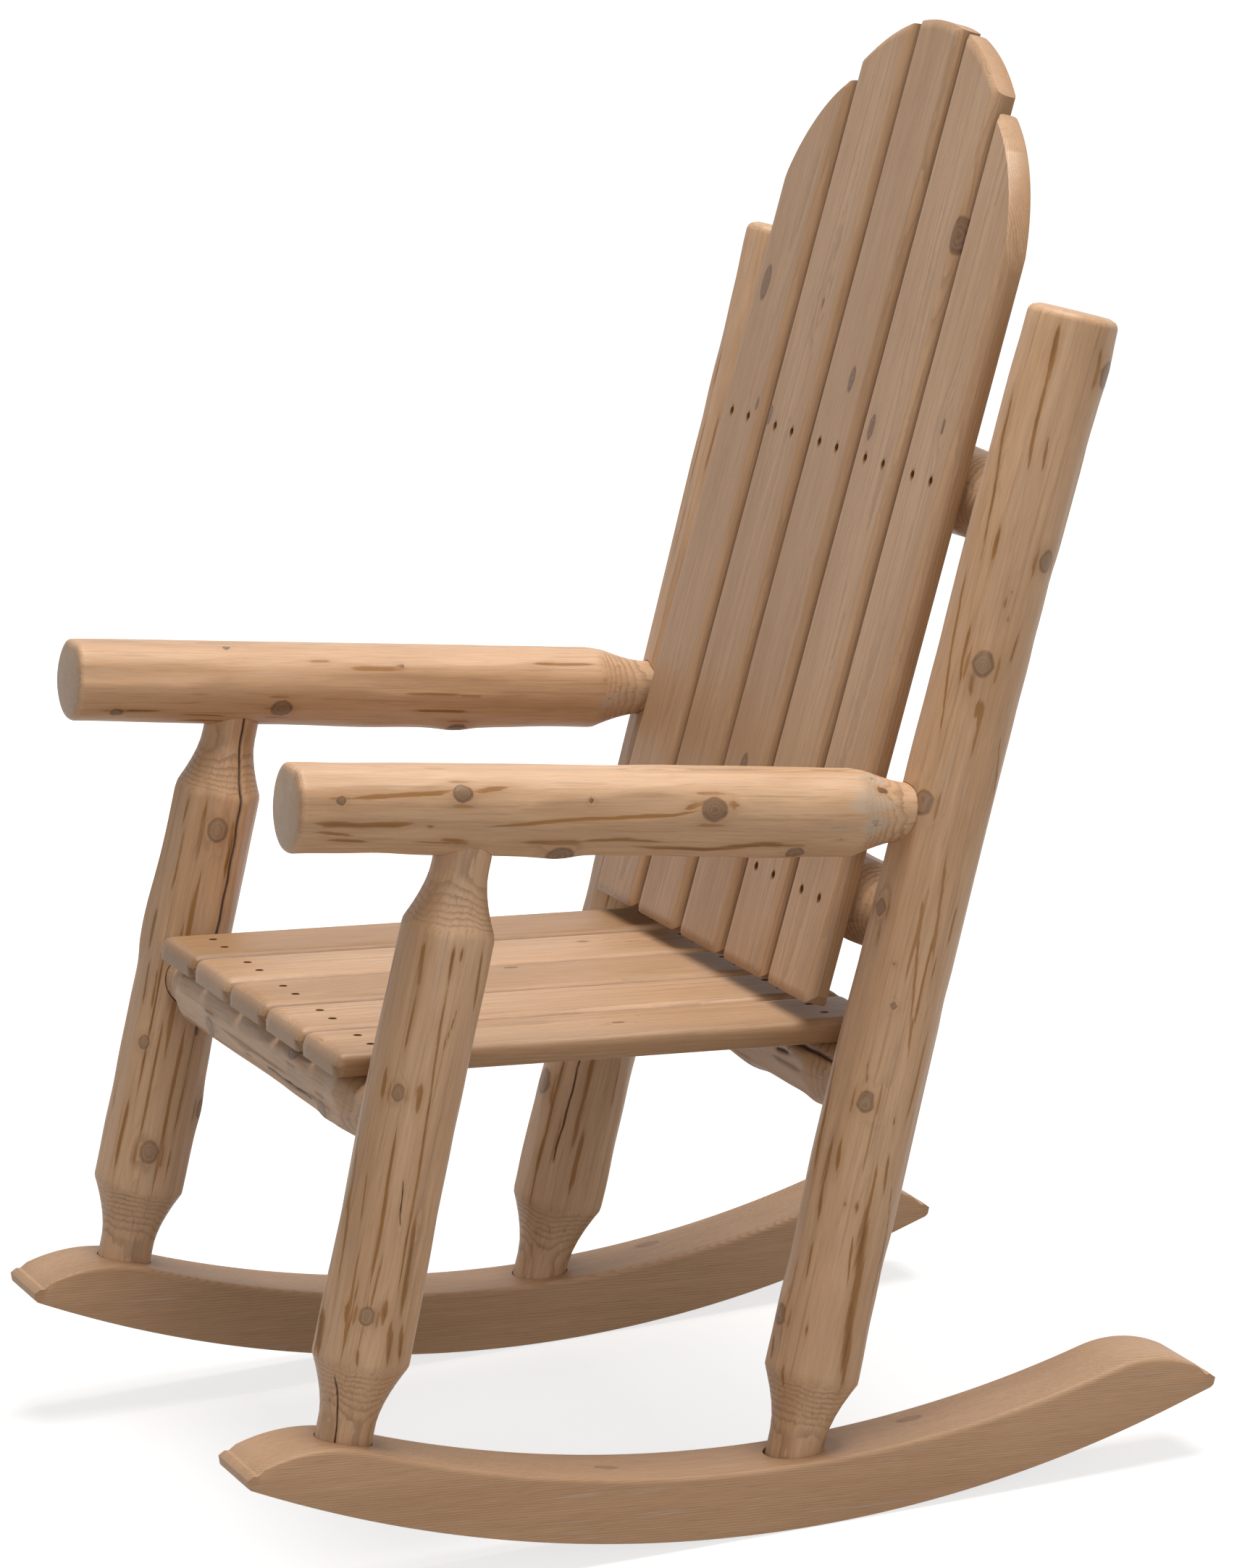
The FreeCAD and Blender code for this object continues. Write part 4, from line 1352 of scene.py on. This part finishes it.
def make_screw(x, y, matrix):
    """Countersunk screw with a dished head and a small drive recess, under a board's show face."""
    deselect_all()
    bpy.ops.mesh.primitive_cone_add(vertices=16, radius1=0.0018, radius2=SCREW_HEAD_RADIUS,
                                    depth=SCREW_HEAD_DEPTH, end_fill_type="NGON")
    obj = bpy.context.object
    bpy.ops.object.mode_set(mode="EDIT")
    select_faces(obj, lambda face: face.normal.z > 0.9)
    bpy.ops.mesh.inset(thickness=0.0006)
    bpy.ops.transform.translate(value=(0, 0, -0.00025))
    bpy.ops.mesh.inset(thickness=0.0013)
    extrude(-0.0016, 0.45)
    select_faces(obj, lambda face: face.normal.z < -0.9)
    extrude(-0.036)
    extrude(-0.006, 0.2)
    bpy.ops.object.mode_set(mode="OBJECT")
    obj.matrix_world = matrix @ Matrix.Translation((x, y, -SCREW_RECESS - SCREW_HEAD_DEPTH / 2))
    bpy.ops.object.transform_apply(location=True, rotation=True, scale=True)
    return obj


def make_screw_group(name, row, line):
    """The ten screws that hold one row of slats to one rail."""
    parts = []
    for index in range(1, SLAT_COUNT + 1):
        for side in (-1, 1):
            parts.append(make_screw(side * row.half_spacing, row.lines[line], row.matrix(index)))
    join(parts)
    obj = new_piece(name + "_heads")
    smooth(obj, 30)
    finish_piece(obj, material_named("dull_screw_steel"), [name])


# Operators

# Slats share the logs' colours, a little darker. Rockers have their own.
SLAT_SHADE = 0.88
ROCKER_PALE = (0.53, 0.32, 0.18)
ROCKER_WARM = (0.42, 0.235, 0.12)


def material_named(name):
    """A wood or steel material, made once."""
    if name in bpy.data.materials:
        return bpy.data.materials[name]
    pale = colours().pale_wood
    warm = colours().warm_wood
    if name == "peeled_cedar":
        return wood_material(name, pale, warm, 0.7, 0.9, 0.5)
    if name == "slat_cedar":
        return wood_material(name, scaled(pale, SLAT_SHADE), scaled(warm, SLAT_SHADE), 0.5, 0.0, 0.5)
    if name == "rocker_cedar":
        return wood_material(name, ROCKER_PALE, ROCKER_WARM, 0.42, 0.0, 0.55)
    return steel_material(name)


class CHAIR_OT_stage(bpy.types.Operator):
    """Add the pale floor, the soft studio lamps and the camera"""
    bl_idname = "chair.stage"
    bl_label = "Stage, lamps and camera"

    def execute(self, context):
        set_stage(context.scene)
        return {"FINISHED"}


class CHAIR_OT_rockers(bpy.types.Operator):
    """Make the two sawn rockers with their bores"""
    bl_idname = "chair.rockers"
    bl_label = "Rockers"

    def execute(self, context):
        for side in (1, -1):
            make_rocker(side)
        return {"FINISHED"}


class CHAIR_OT_posts(bpy.types.Operator):
    """Make the four peeled posts with their bores"""
    bl_idname = "chair.posts"
    bl_label = "Posts"

    def execute(self, context):
        for side in (1, -1):
            holes = {name: tenon_hole(rail_log(name), side > 0) for name in RAIL_LINES}
            finish_log(side_log("front_post", side), [holes.pop("front_seat_rail")])
            arm_hole = tenon_hole(side_log("arm", side), True)
            finish_log(side_log("back_post", side), [*holes.values(), arm_hole])
        return {"FINISHED"}


class CHAIR_OT_arms(bpy.types.Operator):
    """Make the two arms with their planed tops"""
    bl_idname = "chair.arms"
    bl_label = "Arms"

    def execute(self, context):
        for side in (1, -1):
            finish_log(side_log("arm", side), [tenon_hole(side_log("front_post", side), True)])
        return {"FINISHED"}


class CHAIR_OT_rails(bpy.types.Operator):
    """Make the two seat rails and the two back rails"""
    bl_idname = "chair.rails"
    bl_label = "Rails"

    def execute(self, context):
        for name in RAIL_LINES:
            finish_log(rail_log(name))
        return {"FINISHED"}


class CHAIR_OT_slats(bpy.types.Operator):
    """Make the seat slats and the arched back slats"""
    bl_idname = "chair.slats"
    bl_label = "Slats"

    def execute(self, context):
        for index in range(1, SLAT_COUNT + 1):
            make_seat_slat(index)
            make_back_slat(index)
        return {"FINISHED"}


class CHAIR_OT_screws(bpy.types.Operator):
    """Make the four groups of countersunk screws"""
    bl_idname = "chair.screws"
    bl_label = "Screws"

    def execute(self, context):
        for name, (row, line) in SCREW_GROUPS.items():
            make_screw_group(name, row, line)
        return {"FINISHED"}


class CHAIR_PT_sidebar(bpy.types.Panel):
    """Buttons and settings of the log rocking chair"""
    bl_idname = "CHAIR_PT_sidebar"
    bl_label = "Log rocking chair"
    bl_space_type = "VIEW_3D"
    bl_region_type = "UI"
    bl_category = "Log chair"

    def draw(self, context):
        layout = self.layout
        for operator in OPERATORS:
            layout.operator(operator.bl_idname)
        for group in (context.scene.chair_sizes, context.scene.chair_colours):
            for key in group.bl_rna.properties.keys():
                if key not in ("rna_type", "name"):
                    layout.prop(group, key)


OPERATORS = (CHAIR_OT_stage, CHAIR_OT_rockers, CHAIR_OT_posts, CHAIR_OT_arms, CHAIR_OT_rails,
             CHAIR_OT_slats, CHAIR_OT_screws)
CLASSES = (ChairSizes, ChairColours) + OPERATORS + (CHAIR_PT_sidebar,)


# Stage

CAMERA_PLACE = (5.382, -1.8902, 1.7924)
CAMERA_TURN = (77.896, 3.515, 68.918)
FOCAL_LENGTH = 164.2
FRAME_SHIFT = (-0.0379, -0.0206)
SKY_STRENGTH = 0.22


def add_lamp(name, location, target, size, power, colour):
    lamp = bpy.data.lights.new(name, "AREA")
    lamp.shape = "DISK"
    lamp.size = size
    lamp.energy = power
    lamp.color = colour
    obj = bpy.data.objects.new(name, lamp)
    obj.location = location
    aim = Vector(target) - Vector(location)
    obj.rotation_euler = aim.to_track_quat("-Z", "Y").to_euler()
    bpy.context.scene.collection.objects.link(obj)


def set_stage(scene):
    scene.view_settings.view_transform = "Standard"
    deselect_all()
    bpy.ops.mesh.primitive_plane_add(size=24, location=(0, 0, 0))
    floor = new_piece("floor")
    floor.data.materials.append(floor_material())

    world = bpy.data.worlds.new("soft_sky")
    scene.world = world
    tree = Tree(world)
    soft = tree.node("ShaderNodeBackground", {}, {"Color": (*WHITE, 1.0), "Strength": SKY_STRENGTH})
    plain = tree.node("ShaderNodeBackground", {}, {"Color": (*WHITE, 1.0), "Strength": 1.0})
    mixed = tree.node("ShaderNodeMixShader", {}, [tree.seen(), soft.out(0), plain.out(0)])
    tree.output("ShaderNodeOutputWorld", mixed)

    middle = (0, 0, 0.55)
    add_lamp("key_lamp", (0.3, 0.5, 4.8), middle, 3.0, 232, (1.0, 0.98, 0.96))
    add_lamp("fill_lamp", (4.7, -0.9, 1.9), middle, 2.2, 52, (1.0, 0.97, 0.94))

    camera = bpy.data.cameras.new("camera")
    camera.sensor_width = 36.0
    camera.lens = FOCAL_LENGTH
    camera.shift_x, camera.shift_y = FRAME_SHIFT
    camera.clip_end = 60
    obj = bpy.data.objects.new("camera", camera)
    obj.location = CAMERA_PLACE
    obj.rotation_euler = Euler([math.radians(turn) for turn in CAMERA_TURN])
    scene.collection.objects.link(obj)
    scene.camera = obj


def register():
    for item in CLASSES:
        bpy.utils.register_class(item)
    bpy.types.Scene.chair_sizes = bpy.props.PointerProperty(type=ChairSizes)
    bpy.types.Scene.chair_colours = bpy.props.PointerProperty(type=ChairColours)


def unregister():
    del bpy.types.Scene.chair_sizes
    del bpy.types.Scene.chair_colours
    for item in reversed(CLASSES):
        bpy.utils.unregister_class(item)


def main():
    register()
    bpy.ops.chair.stage()
    bpy.ops.chair.rockers()
    bpy.ops.chair.posts()
    bpy.ops.chair.arms()
    bpy.ops.chair.rails()
    bpy.ops.chair.slats()
    bpy.ops.chair.screws()


if __name__ == "__main__":
    main()
